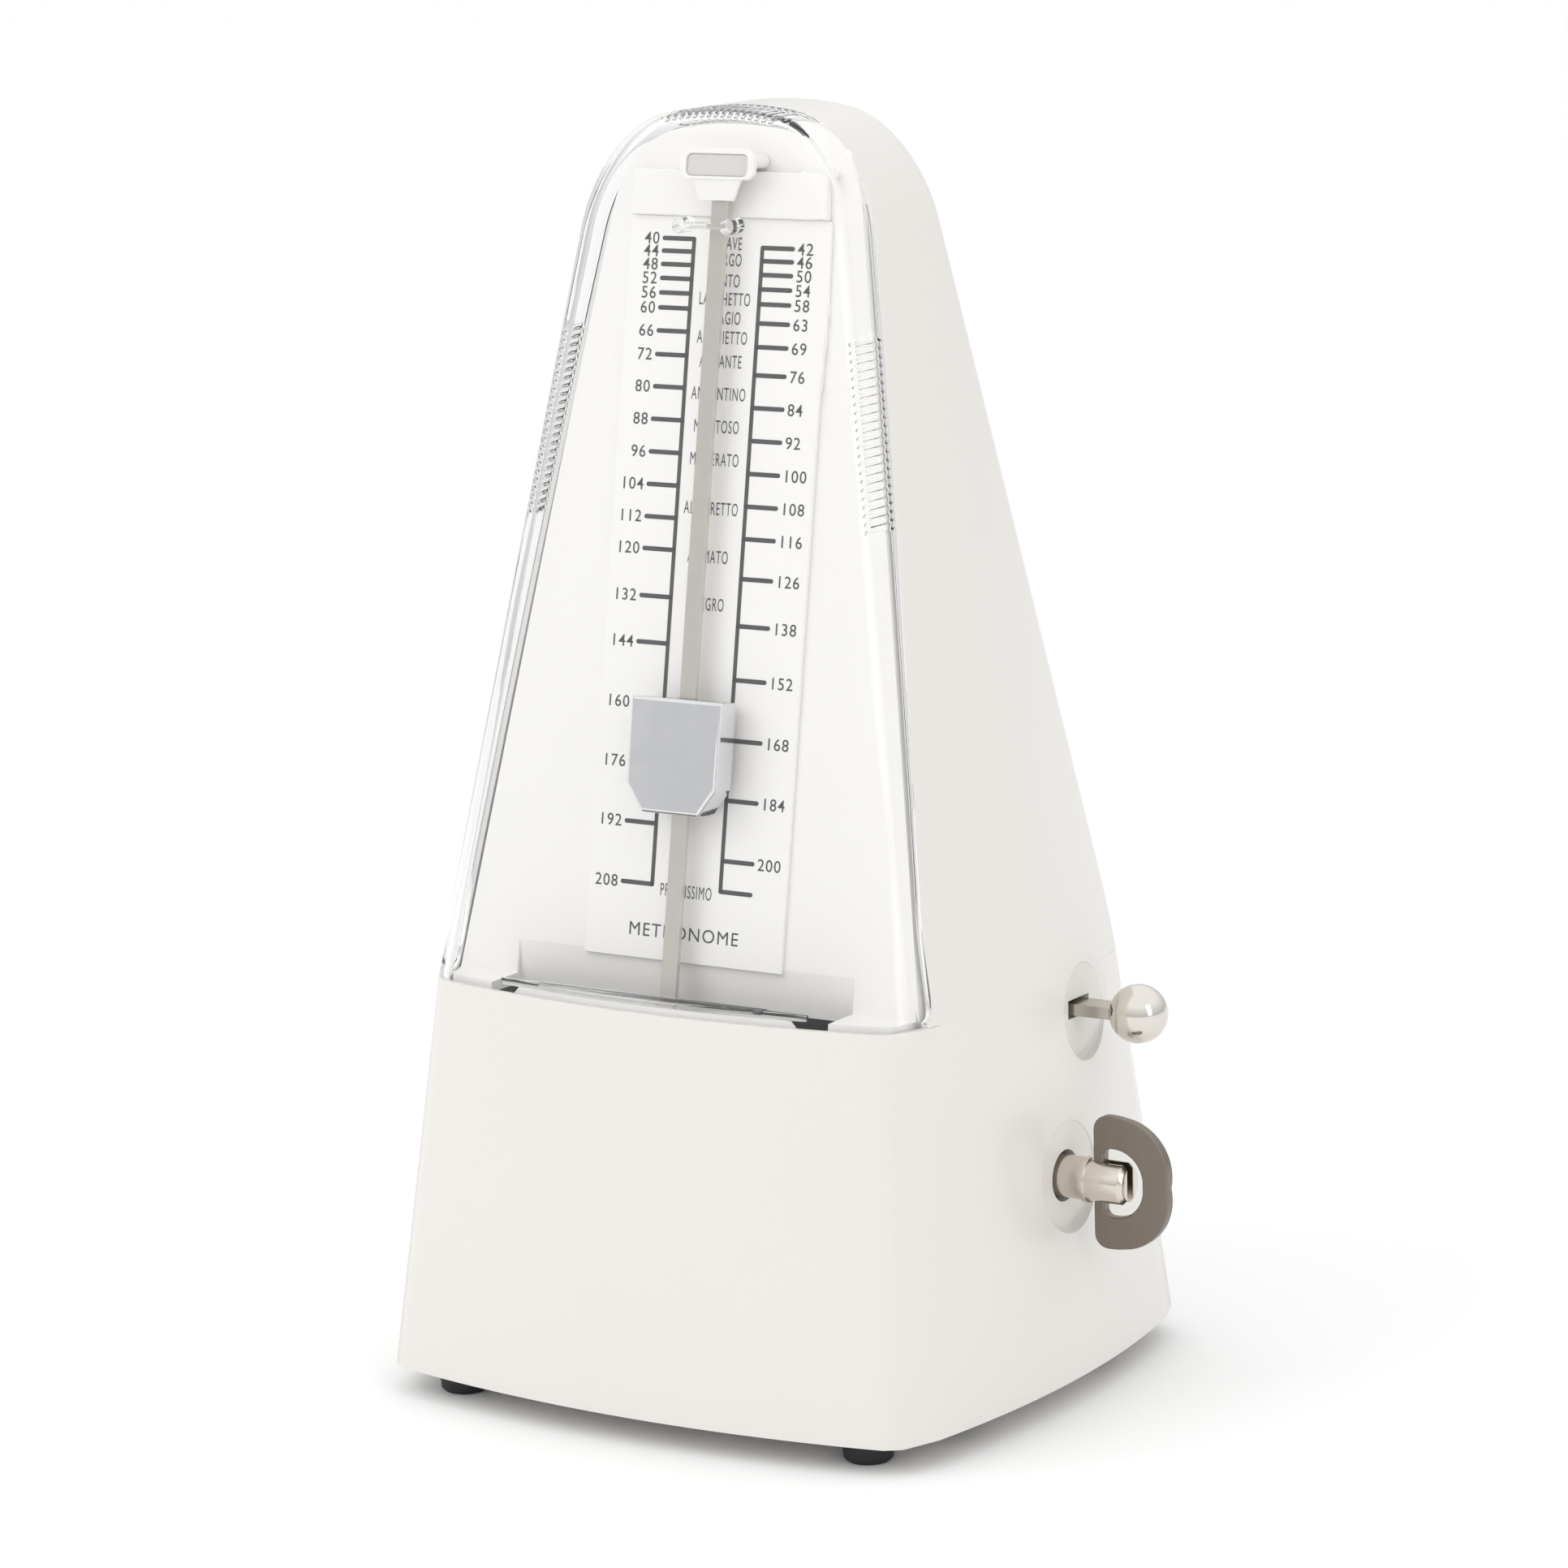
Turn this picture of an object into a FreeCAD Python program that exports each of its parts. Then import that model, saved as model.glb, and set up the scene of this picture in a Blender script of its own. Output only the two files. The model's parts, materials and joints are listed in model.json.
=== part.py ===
import FreeCAD, Part
import Sketcher
import math
import os
import re

from fcgear import fcgear, involute

# A wind-up pyramid metronome: plastic case, clear front cover, pendulum with a sliding weight,
# and a clockwork with bell. +X is the winding side, -Y the front, +Z up, z = 0 under the feet.

V = FreeCAD.Vector
X_AXIS = V(1, 0, 0)
Y_AXIS = V(0, 1, 0)
Z_AXIS = V(0, 0, 1)
FAR = 300.0             # beyond every side of the object, for cutting volumes

doc = FreeCAD.newDocument("metronome")
dims = doc.addObject("Spreadsheet::Sheet", "dims")
PARTS = {}

SIZES = {
    # case: heights and half sizes of the corner points at three levels
    "crown_z": 216.0,
    "case_foot_z": 4.85,
    "shoulder_z": 71.3,
    "base_half_w": 51.1,
    "base_half_d": 46.5,
    "shoulder_half_w": 46.0,
    "shoulder_half_d": 37.2,
    "top_half_w": 22.7,
    "top_half_d": 13.9,
    "base_bow": 5.85,
    "shoulder_bow": 5.3,
    "corner_round": 4.0,
    "crown_round": 58.0,
    "crown_shoulder_round": 12.0,
    "wall": 2.2,
    "cover_wall": 1.8,
    "fit_gap": 0.2,
    "run_gap": 0.05,
    # seam between case and clear cover, set back from the front corners
    "seam_low_setback": 6.55,
    "seam_top_setback": 10.8,
    "seam_round": 7.0,
    "seam_gap": 0.15,
    # dial, panel and shelf
    "dial_low_setback": 6.95,
    "dial_top_setback": 8.7,
    "dial_thick": 0.8,
    "dial_half_w": 19.4,
    "dial_low_rise": 5.2,
    "dial_top_drop": 18.3,
    "panel_thick": 1.8,
    "slot_half_w": 33.0,
    "slot_back_reach": 1.8,
    "pocket_rise": 6.5,
    # the cover's flange, the clip above the weight's highest place, and their room for the weight
    "weight_gap": 0.8,
    "clip_gap": 0.5,
    "flange_tab_half_w": 22.0,
    "mark_top_drop": 22.0,
    "clip_left_x": -5.2,
    "clip_right_x": 4.2,
    "clip_r": 1.3,
    "header_half_w": 19.0,
    "header_tall": 7.6,
    "header_proud": 1.2,
    # rod catch
    "catch_half_w": 8.1,
    "catch_tip_half_w": 5.4,
    "catch_tall": 9.4,
    "catch_roof": 3.2,
    "catch_lip": 1.2,
    # pendulum
    "pivot_z": 46.0,
    "staff_r": 1.2,
    "staff_front_y": -35.4,
    "staff_rear_y": 26.6,
    "rod_wide": 3.0,
    "rod_thick": 1.0,
    "rod_stand_off": 3.0,
    "rod_top_drop": 11.5,
    "rod_low_z": 40.5,
    "hub_half_w": 4.0,
    "hub_rear_y": -30.8,
    "hub_low_z": 39.5,
    "hub_top_z": 54.0,
    "bob_r": 13.5,
    "bob_thick": 18.0,
    "bob_y": -34.0,
    "bob_z": 22.0,
    "stem_r": 1.5,
    "pallet_reach": 2.5,
    "pallet_long": 2.6,
    "pallet_thick": 0.6,
    "pallet_angle": 50.0,
    # sliding weight
    "weight_half_w": 8.75,
    "weight_tall": 19.0,
    "weight_front": 3.8,
    "weight_back": 1.0,
    "weight_top_z": 119.5,
    "weight_cut_w": 3.2,
    "weight_cut_tall": 4.6,
    "weight_bevel": 0.4,
    "leaf_thick": 0.3,
    "leaf_room": 0.5,
    # winding key
    "key_y": 4.0,
    "key_z": 38.5,
    "key_hole_r": 4.4,
    "key_recess_r": 9.5,
    "key_recess_deep": 1.05,
    "key_stand_off": 4.85,
    "key_plate_wide": 13.7,
    "key_plate_half_h": 11.35,
    "key_plate_thick": 2.0,
    "key_shank_r": 3.6,
    "key_shank_over": 6.4,
    "key_eye_left": 1.9,
    "key_eye_wide": 7.2,
    "key_eye_half_h": 5.85,
    # beat selector
    "selector_y": 15.0,
    "selector_z": 64.7,
    "selector_wide": 5.0,
    "selector_thick": 2.0,
    "selector_slot_wide": 7.0,
    "selector_slot_tall": 3.2,
    "selector_recess_r": 8.3,
    "selector_recess_drop": 0.6,
    "selector_recess_deep": 1.3,
    "selector_stand_off": 10.25,
    "selector_inner_x": -8.0,
    "selector_step": 2.5,
    "knob_r": 5.0,
    # movement frame
    "plate_thick": 1.6,
    "right_plate_x": 30.0,
    "centre_plate_x": 3.6,
    "front_bridge_y": -18.0,
    "rear_bridge_y": 24.0,
    "frame_low_z": 20.0,
    "frame_top_z": 76.0,
    "cock_x": -19.6,
    "bush_r": 2.5,
    "bush_over": 0.8,
    "post_side": 6.0,
    "post_front_y": -11.0,
    "post_rear_y": 17.0,
    "post_top_z": 32.0,
    "frame_screw_z": 28.0,
    "screw_r": 1.25,
    "screw_head_r": 2.2,
    "screw_head_tall": 1.4,
    # wheels
    "great_module": 0.6,
    "great_teeth": 60,
    "inter_pinion_teeth": 12,
    "fine_module": 0.5,
    "inter_wheel_teeth": 48,
    "escape_pinion_teeth": 10,
    "mesh_gap": 0.1,
    "great_x": 8.5,
    "great_thick": 1.5,
    "barrel_r": 17.0,
    "barrel_long": 14.0,
    "barrel_wall": 1.0,
    "barrel_cap": 1.2,
    "spring_turns": 6.0,
    "spring_strip": 0.5,
    "arbor_r": 2.0,
    "inter_arbor_r": 1.2,
    "inter_pinion_x": 7.5,
    "inter_pinion_long": 3.4,
    "inter_wheel_x": -26.0,
    "inter_wheel_thick": 1.2,
    "escape_arbor_r": 1.0,
    "escape_pinion_x": -27.5,
    "escape_pinion_long": 4.0,
    "crown_r": 10.0,
    "crown_rim": 1.2,
    "crown_web": 1.2,
    "crown_tip_gap": 0.8,
    "crown_tooth_tall": 1.9,
    "crown_deep": 4.0,
    "crown_teeth": 15,
    "ratchet_r": 8.0,
    "ratchet_thick": 1.5,
    "ratchet_teeth": 24,
    "ratchet_x": 32.4,
    "ratchet_bite": 1.0,
    "click_back": 12.0,
    "click_rise": 8.4,
    # bell work
    "cam_r": 3.2,
    "cam_lobe_r": 4.2,
    "cam_ring_wide": 2.0,
    "hammer_x": 11.8,
    "hammer_arm_thick": 2.0,
    "hammer_pin_z": 69.4,
    "hammer_pin_r": 0.8,
    "hammer_head_z": 85.0,
    "hammer_head_r": 3.0,
    "hammer_head_long": 6.0,
    "hammer_tail_y": 10.0,
    "hammer_tail_z": 64.3,
    "carrier_long": 6.0,
    "bell_r": 15.0,
    "bell_wall": 1.0,
    "bell_gap": 0.6,
    "bell_rim_z": 82.0,
    "bell_post_r": 2.0,
    # base plate, feet, fasteners
    "base_plate_thick": 2.2,
    "foot_x": 40.2,
    "foot_y": 39.6,
    "foot_top_r": 4.5,
    "foot_low_r": 4.1,
    "boss_inset": 2.6,
    "boss_y": 22.0,
    "boss_r": 3.5,
    "boss_top_z": 20.0,
    # the two side faces' reach at the key and at the selector
    "key_side_x": "=base_half_w + (shoulder_half_w - base_half_w) * (key_z - case_foot_z)"
                  " / (shoulder_z - case_foot_z) + base_bow * 0.95",
    "selector_side_x": "=base_half_w + (shoulder_half_w - base_half_w) * (selector_z - case_foot_z)"
                       " / (shoulder_z - case_foot_z) + shoulder_bow * 0.85",
    "key_plate_x": "=key_side_x + key_stand_off",
    "knob_x": "=selector_side_x + selector_stand_off",
    "left_reach": "=base_half_w + base_bow",
    "right_reach": "=max(key_plate_x + key_plate_wide; knob_x + knob_r)",
    # the origin stands under the middle of the whole object, knob and key included
    "origin_x": "=(right_reach - left_reach) / 2",
    # dial plane: through two points, leaning back
    "dial_low_y": "=-(shoulder_half_d - dial_low_setback)",
    "dial_top_y": "=-(top_half_d - dial_top_setback)",
    "dial_slope": "=(dial_top_y - dial_low_y) / (crown_z - shoulder_z)",
    "lean": "=atan(dial_slope) / 1 deg",
    "lean_cos": "=1 / sqrt(1 + dial_slope * dial_slope)",
    "dial_low_v": "=dial_low_rise",
    "dial_top_v": "=(crown_z - dial_top_drop - shoulder_z) / lean_cos",
    "rod_top_v": "=(crown_z - rod_top_drop - shoulder_z) / lean_cos",
    "rod_low_v": "=(rod_low_z - shoulder_z) / lean_cos",
    "catch_top_v": "=rod_top_v + catch_roof + 1",
    "weight_top_v": "=(weight_top_z - shoulder_z) / lean_cos",
    # how far the weight stands in front of the dial, and what stays clear of it
    "weight_reach": "=(rod_stand_off + weight_front) / lean_cos",
    "slot_front_reach": "=weight_reach + weight_gap",
    "flange_reach": "=weight_reach + weight_gap",
    "clip_z": "=crown_z - mark_top_drop + (rod_stand_off + weight_front) * dial_slope * lean_cos"
              " + clip_r + clip_gap",
    # centre distances and the intermediate arbor's place
    "great_mesh": "=great_module * (great_teeth + inter_pinion_teeth) / 2 + mesh_gap",
    "fine_mesh": "=fine_module * (inter_wheel_teeth + escape_pinion_teeth) / 2 + mesh_gap",
    "inter_z": "=(great_mesh * great_mesh - fine_mesh * fine_mesh) / (2 * (pivot_z - key_z))"
               " + (pivot_z + key_z) / 2",
    "inter_y": "=key_y + sqrt(great_mesh * great_mesh - (inter_z - key_z) * (inter_z - key_z))",
    "left_plate_x": "=-right_plate_x - plate_thick",
    "bell_y": "=selector_y - hammer_head_long / 2 - bell_gap - bell_r",
    "bell_x": "=hammer_x + 2 * selector_step",
    "boss_x": "=base_half_w - boss_inset",
    "crown_tip_x": "=-staff_r - crown_tip_gap",
}
for row, (alias, content) in enumerate(SIZES.items(), start=1):
    dims.set("A%d" % row, alias)
    dims.set("B%d" % row, str(content))
    dims.setAlias("B%d" % row, alias)
doc.recompute()


def size(alias):
    """The number in one cell of the sheet."""
    return float(getattr(dims, alias))


def bound(text):
    """An expression on the sheet: every alias gets the sheet's name in front."""
    return re.sub(r"[a-z_]+", lambda m: "dims." + m.group() if m.group() in SIZES else m.group(), text)


def value(text):
    """What an expression on the sheet comes to now."""
    return float(dims.evalExpression(bound(text)))


def place(obj, at=("0", "0", "0"), axis=None, angle="0"):
    """Binds an object's Placement to the sheet; every x is counted from the shifted origin."""
    if axis is not None:
        obj.Placement = FreeCAD.Placement(V(), axis, value(angle))
        obj.setExpression(".Placement.Rotation.Angle", bound(angle))
    for letter, text in zip("xyz", at):
        shift = " - origin_x" if letter == "x" else ""
        obj.setExpression(".Placement.Base." + letter, bound(text + shift))


def keep(name, obj):
    """Names a finished sub-part."""
    obj.Label = name
    PARTS[name] = obj
    return obj


# ---------------------------------------------------------------- sketches and bodies

def plane_of(body, role):
    return [item for item in body.Origin.OriginFeatures if item.Role == role][0]


def pin_point(sketch, geo, pos, at):
    """Holds one point of a sketch at two expressions."""
    for kind, text in zip(("DistanceX", "DistanceY"), at):
        number = value(text)
        index = sketch.addConstraint(Sketcher.Constraint(kind, -1, 1, geo, pos, number))
        sketch.setExpression("Constraints[%d]" % index, bound(text))


def add_loop(sketch, points):
    """A closed outline of straight runs, each corner held at its own expressions."""
    spots = [V(value(a), value(b), 0) for a, b in points]
    first = sketch.GeometryCount
    count = len(points)
    for i in range(count):
        sketch.addGeometry(Part.LineSegment(spots[i], spots[(i + 1) % count]))
    for i in range(count):
        nxt = first + (i + 1) % count
        sketch.addConstraint(Sketcher.Constraint("Coincident", first + i, 2, nxt, 1))
    for i in range(count):
        pin_point(sketch, first + i, 1, points[i])


def add_circle(sketch, centre, radius):
    geo = sketch.addGeometry(Part.Circle(V(value(centre[0]), value(centre[1]), 0), Z_AXIS, value(radius)))
    pin_point(sketch, geo, 3, centre)
    index = sketch.addConstraint(Sketcher.Constraint("Radius", geo, value(radius)))
    sketch.setExpression("Constraints[%d]" % index, bound(radius))


def new_sketch(body, role, loops=(), circles=()):
    sketch = body.newObject("Sketcher::SketchObject", body.Name + "_sketch")
    sketch.AttachmentSupport = [(plane_of(body, role), "")]
    sketch.MapMode = "FlatFace"
    for points in loops:
        add_loop(sketch, points)
    for centre, radius in circles:
        add_circle(sketch, centre, radius)
    return sketch


def new_body(name):
    return doc.addObject("PartDesign::Body", name)


def pad(body, sketch, length, reverse=False):
    feature = body.newObject("PartDesign::Pad", body.Name + "_pad")
    feature.Profile = sketch
    feature.setExpression("Length", bound(length))
    feature.Reversed = reverse
    sketch.Visibility = False
    body.Tip = feature
    return feature


def pocket(body, sketch, length, reverse=False, both=False):
    feature = body.newObject("PartDesign::Pocket", body.Name + "_pocket")
    feature.Profile = sketch
    if both:
        feature.SideType = "Symmetric"
    feature.setExpression("Length", bound(length))
    feature.Reversed = reverse
    body.Tip = feature
    return feature


def revolve(body, sketch, axis):
    feature = body.newObject("PartDesign::Revolution", body.Name + "_turned")
    feature.Profile = sketch
    feature.ReferenceAxis = (sketch, [axis])
    feature.Angle = 360.0
    body.Tip = feature
    return feature


def plate(name, role, outlines, holes, thick, at, reverse=False, axis=None, angle="0"):
    """A flat part: outlines with round or square holes, padded to its thickness."""
    body = new_body(name)
    pad(body, new_sketch(body, role, outlines, holes), thick, reverse)
    place(body, at, axis, angle)
    return keep(name, body)


def turned(name, direction, profile, at):
    """A part turned on the lathe; the profile gives (along, radius) pairs."""
    body = new_body(name)
    if direction == "x":
        sketch = new_sketch(body, "XY_Plane", [profile])
        revolve(body, sketch, "H_Axis")
    else:
        role = "XY_Plane" if direction == "y" else "XZ_Plane"
        sketch = new_sketch(body, role, [[(radius, along) for along, radius in profile]])
        revolve(body, sketch, "V_Axis")
    place(body, at)
    return keep(name, body)


def rod_profile(low, high, radius, bore="0"):
    """Outline of a plain rod or, with a bore, of a tube."""
    return [(low, bore), (high, bore), (high, radius), (low, radius)]


def rectangle(left, low, right, high):
    return [(left, low), (right, low), (right, high), (left, high)]


# ---------------------------------------------------------------- case, cover and panel forms

def level_sizes(z, inset):
    """Half width, half depth and bow of the case's outside at one height, drawn in by inset."""
    levels = (
        (size("case_foot_z"), size("base_half_w"), size("base_half_d"), size("base_bow")),
        (size("shoulder_z"), size("shoulder_half_w"), size("shoulder_half_d"), size("shoulder_bow")),
        (size("crown_z"), size("top_half_w"), size("top_half_d"), 0.0),
    )
    low, high = (levels[0], levels[1]) if z <= levels[1][0] else (levels[1], levels[2])
    share = (z - low[0]) / (high[0] - low[0])
    half_w, half_d, bow = (low[i] + (high[i] - low[i]) * share for i in (1, 2, 3))
    return half_w - inset, half_d - inset, max(bow, 0.2)


def bowed_wire(z, inset):
    """The closed outline at one height: four faces that bow outwards between rounded corners."""
    half_w, half_d, bow = level_sizes(z, inset)
    turn = size("corner_round") - inset * 0.8
    half_w -= turn
    half_d -= turn
    corners = [V(half_w, -half_d, z), V(half_w, half_d, z), V(-half_w, half_d, z), V(-half_w, -half_d, z)]
    outward = [V(1, 0, 0), V(0, 1, 0), V(-1, 0, 0), V(0, -1, 0)]
    faces = []
    for i in range(4):
        start, end = corners[i], corners[(i + 1) % 4]
        half_chord = (end - start).Length / 2
        radius = (half_chord ** 2 + bow ** 2) / (2 * bow)
        crest = (start + end) / 2 + outward[i] * bow
        centre = crest - outward[i] * radius
        grown = (radius + turn) / radius
        faces.append([centre + (point - centre) * grown for point in (start, crest, end)])
    edges = []
    for i in range(4):
        after = faces[(i + 1) % 4]
        corner = corners[(i + 1) % 4]
        middle = (faces[i][2] + after[0]) / 2 - corner
        middle.normalize()
        edges.append(Part.Arc(*faces[i]).toShape())
        edges.append(Part.Arc(faces[i][2], corner + middle * turn, after[0]).toShape())
    return Part.Wire(edges)


def crown_prism(inset):
    """A long prism along Y with the crown's front outline: two sides, a dome and round shoulders."""
    low_z = size("shoulder_z")
    low_w, _, low_bow = level_sizes(low_z, inset)
    top_w, _, _ = level_sizes(size("crown_z"), inset)
    low_w = low_w + low_bow
    crown_z = size("crown_z") - inset
    dome = size("crown_round")
    slope = (low_w - top_w) / (size("crown_z") - low_z)
    side_z = crown_z - (dome - math.sqrt(dome * dome - top_w * top_w))
    side_x = top_w + slope * (size("crown_z") - side_z)
    left = V(-side_x, -FAR, side_z)
    right = V(side_x, -FAR, side_z)
    edges = [
        Part.Arc(left, V(0, -FAR, crown_z), right).toShape(),
        Part.makeLine(right, V(low_w, -FAR, low_z)),
        Part.makeLine(V(low_w, -FAR, low_z), V(-low_w, -FAR, low_z)),
        Part.makeLine(V(-low_w, -FAR, low_z), left),
    ]
    prism = Part.Face(Part.Wire(edges)).extrude(V(0, 2 * FAR, 0))
    ridges = [edge for edge in prism.Edges
              if edge.BoundBox.YLength > FAR and edge.BoundBox.ZMin > side_z - 1]
    return prism.makeFillet(size("crown_shoulder_round") - inset, ridges)


def case_form(inset, low_z):
    """The closed pyramid that the case and the cover share, drawn in by inset, from low_z up."""
    levels = (low_z, size("shoulder_z"), size("crown_z"))
    loft = Part.makeLoft([bowed_wire(z, inset) for z in levels], True, True)
    block = Part.makeBox(2 * FAR, 2 * FAR, size("shoulder_z") + FAR, V(-FAR, -FAR, -FAR))
    return loft.common(block.fuse(crown_prism(inset)))


def front_region(gap):
    """The space of the clear cover: above the shoulder and in front of the leaning seam."""
    low_z = size("shoulder_z") + gap
    high_z = size("crown_z") + 20.0
    low_y = -(size("shoulder_half_d") - size("seam_low_setback"))
    top_y = -(size("top_half_d") - size("seam_top_setback"))
    slope = (top_y - low_y) / (size("crown_z") - size("shoulder_z"))

    def seam_y(z):
        return low_y + slope * (z - size("shoulder_z")) - gap

    points = [V(-FAR, -FAR, low_z), V(-FAR, seam_y(low_z), low_z), V(-FAR, seam_y(high_z), high_z),
              V(-FAR, -FAR, high_z)]
    prism = Part.Face(Part.makePolygon(points + points[:1])).extrude(V(2 * FAR, 0, 0))
    corner = [edge for edge in prism.Edges
              if edge.BoundBox.XLength > FAR and abs(edge.BoundBox.YMax - seam_y(low_z)) < 0.01]
    return prism.makeFillet(size("seam_round"), corner)


def dial_y(z):
    return size("dial_low_y") + size("dial_slope") * (z - size("shoulder_z"))


def slab_x(points):
    """A slab of the side outline given as (y, z) points, right across the object."""
    wire = Part.makePolygon([V(-FAR, y, z) for y, z in points + points[:1]])
    return Part.Face(wire).extrude(V(2 * FAR, 0, 0))


def box(low, high):
    return Part.makeBox(high[0] - low[0], high[1] - low[1], high[2] - low[2], V(*low))


def shell_part(name, shape):
    """A moulded shell: its Shape is set here, then its Placement."""
    obj = doc.addObject("Part::Feature", name)
    obj.Shape = shape
    place(obj)
    return keep(name, obj)


def make_case_shell():
    foot_z = size("case_foot_z")
    form = case_form(0.0, foot_z)
    shell = form.cut(case_form(size("wall"), foot_z - 5.0)).cut(front_region(0.0))
    floor_z = foot_z + size("base_plate_thick")
    for sx in (-1, 1):
        for sy in (-1, 1):
            spot = V(sx * size("boss_x"), sy * size("boss_y"), floor_z)
            boss = Part.makeCylinder(size("boss_r"), size("boss_top_z") - floor_z, spot)
            bore = Part.makeCylinder(size("screw_r"), size("boss_top_z") - floor_z - 2.0, spot)
            shell = shell.fuse(boss.common(form)).cut(bore)
    for side, deep, y, z, radius in (
            ("key_side_x", "key_recess_deep", size("key_y"), size("key_z"), size("key_recess_r")),
            ("selector_side_x", "selector_recess_deep", size("selector_y"),
             size("selector_z") - size("selector_recess_drop"), size("selector_recess_r"))):
        flat = size(side) - size(deep)
        backing = Part.makeCylinder(radius + 1.5, size("wall"), V(flat - size("wall"), y, z), X_AXIS)
        shell = shell.fuse(backing.common(form))
        shell = shell.cut(Part.makeCylinder(radius, 20.0, V(flat, y, z), X_AXIS))
    key_start = V(size("key_side_x") - 10.0, size("key_y"), size("key_z"))
    key_hole = Part.makeCylinder(size("key_hole_r"), 20.0, key_start, X_AXIS)
    half_w = size("selector_slot_wide") / 2
    half_h = size("selector_slot_tall") / 2
    slot = box((size("selector_side_x") - 10.0, size("selector_y") - half_w, size("selector_z") - half_h),
               (size("selector_side_x") + 10.0, size("selector_y") + half_w, size("selector_z") + half_h))
    shell_part("case_shell", shell.cut(key_hole).cut(slot).removeSplitter())


def make_front_cover():
    low_z = size("shoulder_z")
    skin = case_form(0.0, 40.0).cut(case_form(size("cover_wall"), 30.0))
    ledge_top = low_z + size("seam_gap") + size("cover_wall") * 0.7
    ledge_back = size("dial_low_y") - size("flange_reach")
    half_tab = size("flange_tab_half_w")
    ledge = case_form(size("cover_wall") * 0.5, 40.0).cut(case_form(size("cover_wall") + 3.0, 30.0))
    tab_space = box((-half_tab, -FAR, 0), (half_tab, ledge_back + size("fit_gap"), FAR))
    tab = case_form(size("cover_wall") * 0.5, 40.0).common(tab_space)
    rim = ledge.common(box((-FAR, -FAR, 0), (FAR, ledge_back, FAR))).fuse(tab)
    rim = rim.common(box((-FAR, -FAR, low_z), (FAR, 0, ledge_top)))
    shell_part("front_cover", skin.fuse(rim).common(front_region(size("seam_gap"))).removeSplitter())


def make_cover_clip():
    """Two pegs joined by a rib inside the cover, which keep the rod back when the cover is on."""
    z = size("clip_z")
    left, right = size("clip_left_x"), size("clip_right_x")
    tip_y = dial_y(z) - size("rod_stand_off") - size("rod_thick") / 2 - 3 * size("fit_gap")
    pegs = Part.makeCylinder(size("clip_r"), FAR, V(left, tip_y, z), -Y_AXIS)
    pegs = pegs.fuse(Part.makeCylinder(size("clip_r"), FAR, V(right, tip_y, z), -Y_AXIS))
    half_rib = 0.4
    rib = box((left, -FAR, z - half_rib), (right, tip_y - half_rib, z + half_rib))
    shell_part("cover_clip", pegs.fuse(rib).common(case_form(size("cover_wall"), 30.0)))


def make_front_panel():
    low_z = size("shoulder_z")
    thick = size("panel_thick")
    high_z = size("crown_z")
    face = size("dial_thick") / size("lean_cos")
    inside = case_form(size("wall") + size("fit_gap"), 30.0)
    leaning = slab_x([(dial_y(low_z - thick) + face, low_z - thick), (dial_y(high_z) + face, high_z),
                      (dial_y(high_z) + face + thick, high_z),
                      (dial_y(low_z - thick) + face + thick, low_z - thick)])
    shelf = slab_x([(-FAR, low_z - thick), (-FAR, low_z), (dial_y(low_z) + face, low_z),
                    (dial_y(low_z - thick) + face, low_z - thick)])
    half = size("slot_half_w")
    back = dial_y(low_z) + size("slot_back_reach")
    front = dial_y(low_z) - size("slot_front_reach")
    roof = low_z + size("pocket_rise")
    pocket_wall = box((-half - thick, dial_y(low_z) + face, low_z - thick),
                      (half + thick, back + thick, roof + thick))
    opening = box((-half, front, low_z - 2 * thick), (half, back, roof))
    behind = slab_x([(dial_y(low_z - 9) + face, low_z - 9), (dial_y(high_z) + face, high_z), (FAR, high_z),
                     (FAR, low_z - 9)])
    panel = leaning.fuse(shelf).fuse(pocket_wall.common(behind)).common(inside).cut(opening)
    shell_part("front_panel", panel.removeSplitter())


def make_base_plate():
    foot_z = size("case_foot_z")
    thick = size("base_plate_thick")
    sheet = case_form(size("wall") + size("fit_gap"), foot_z - 5.0)
    sheet = sheet.common(box((-FAR, -FAR, foot_z), (FAR, FAR, foot_z + thick)))
    for sx in (-1, 1):
        for y in (size("post_front_y"), size("post_rear_y")):
            inner = size("right_plate_x") + size("plate_thick")
            outer = inner + size("post_side")
            half = size("post_side") / 2
            post = box((min(sx * inner, sx * outer), y - half, foot_z + thick / 2),
                       (max(sx * inner, sx * outer), y + half, size("post_top_z")))
            start = V(sx * (inner - 1), y, size("frame_screw_z"))
            bore = Part.makeCylinder(size("screw_r"), size("post_side"), start, X_AXIS * sx)
            sheet = sheet.fuse(post).cut(bore)
        for sy in (-1, 1):
            spot = V(sx * size("boss_x"), sy * size("boss_y"), foot_z - 1)
            sheet = sheet.cut(Part.makeCylinder(size("screw_r") + size("fit_gap"), FAR, spot))
    shell_part("base_plate", sheet.removeSplitter())


make_case_shell()
make_front_cover()
make_cover_clip()
make_front_panel()
make_base_plate()

# ---------------------------------------------------------------- dial group, on the leaning plane

DIAL_AT = ("0", "dial_low_y", "shoulder_z")
LEAN_BACK = "90 - lean"


def on_dial(name, outlines, thick, lift, holes=()):
    """A flat part on the leaning dial plane: x across, y up the slope, padded outwards."""
    body = new_body(name)
    sketch = new_sketch(body, "XY_Plane", outlines, holes)
    sketch.setExpression(".AttachmentOffset.Base.z", bound(lift))
    pad(body, sketch, thick)
    place(body, DIAL_AT, X_AXIS, LEAN_BACK)
    return keep(name, body)


on_dial("dial_plate", [rectangle("-dial_half_w", "dial_low_v", "dial_half_w", "dial_top_v")],
        "dial_thick", "-dial_thick")
on_dial("header_block",
        [rectangle("-header_half_w", "dial_top_v", "header_half_w", "dial_top_v + header_tall")],
        "dial_thick + header_proud", "-dial_thick")


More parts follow.
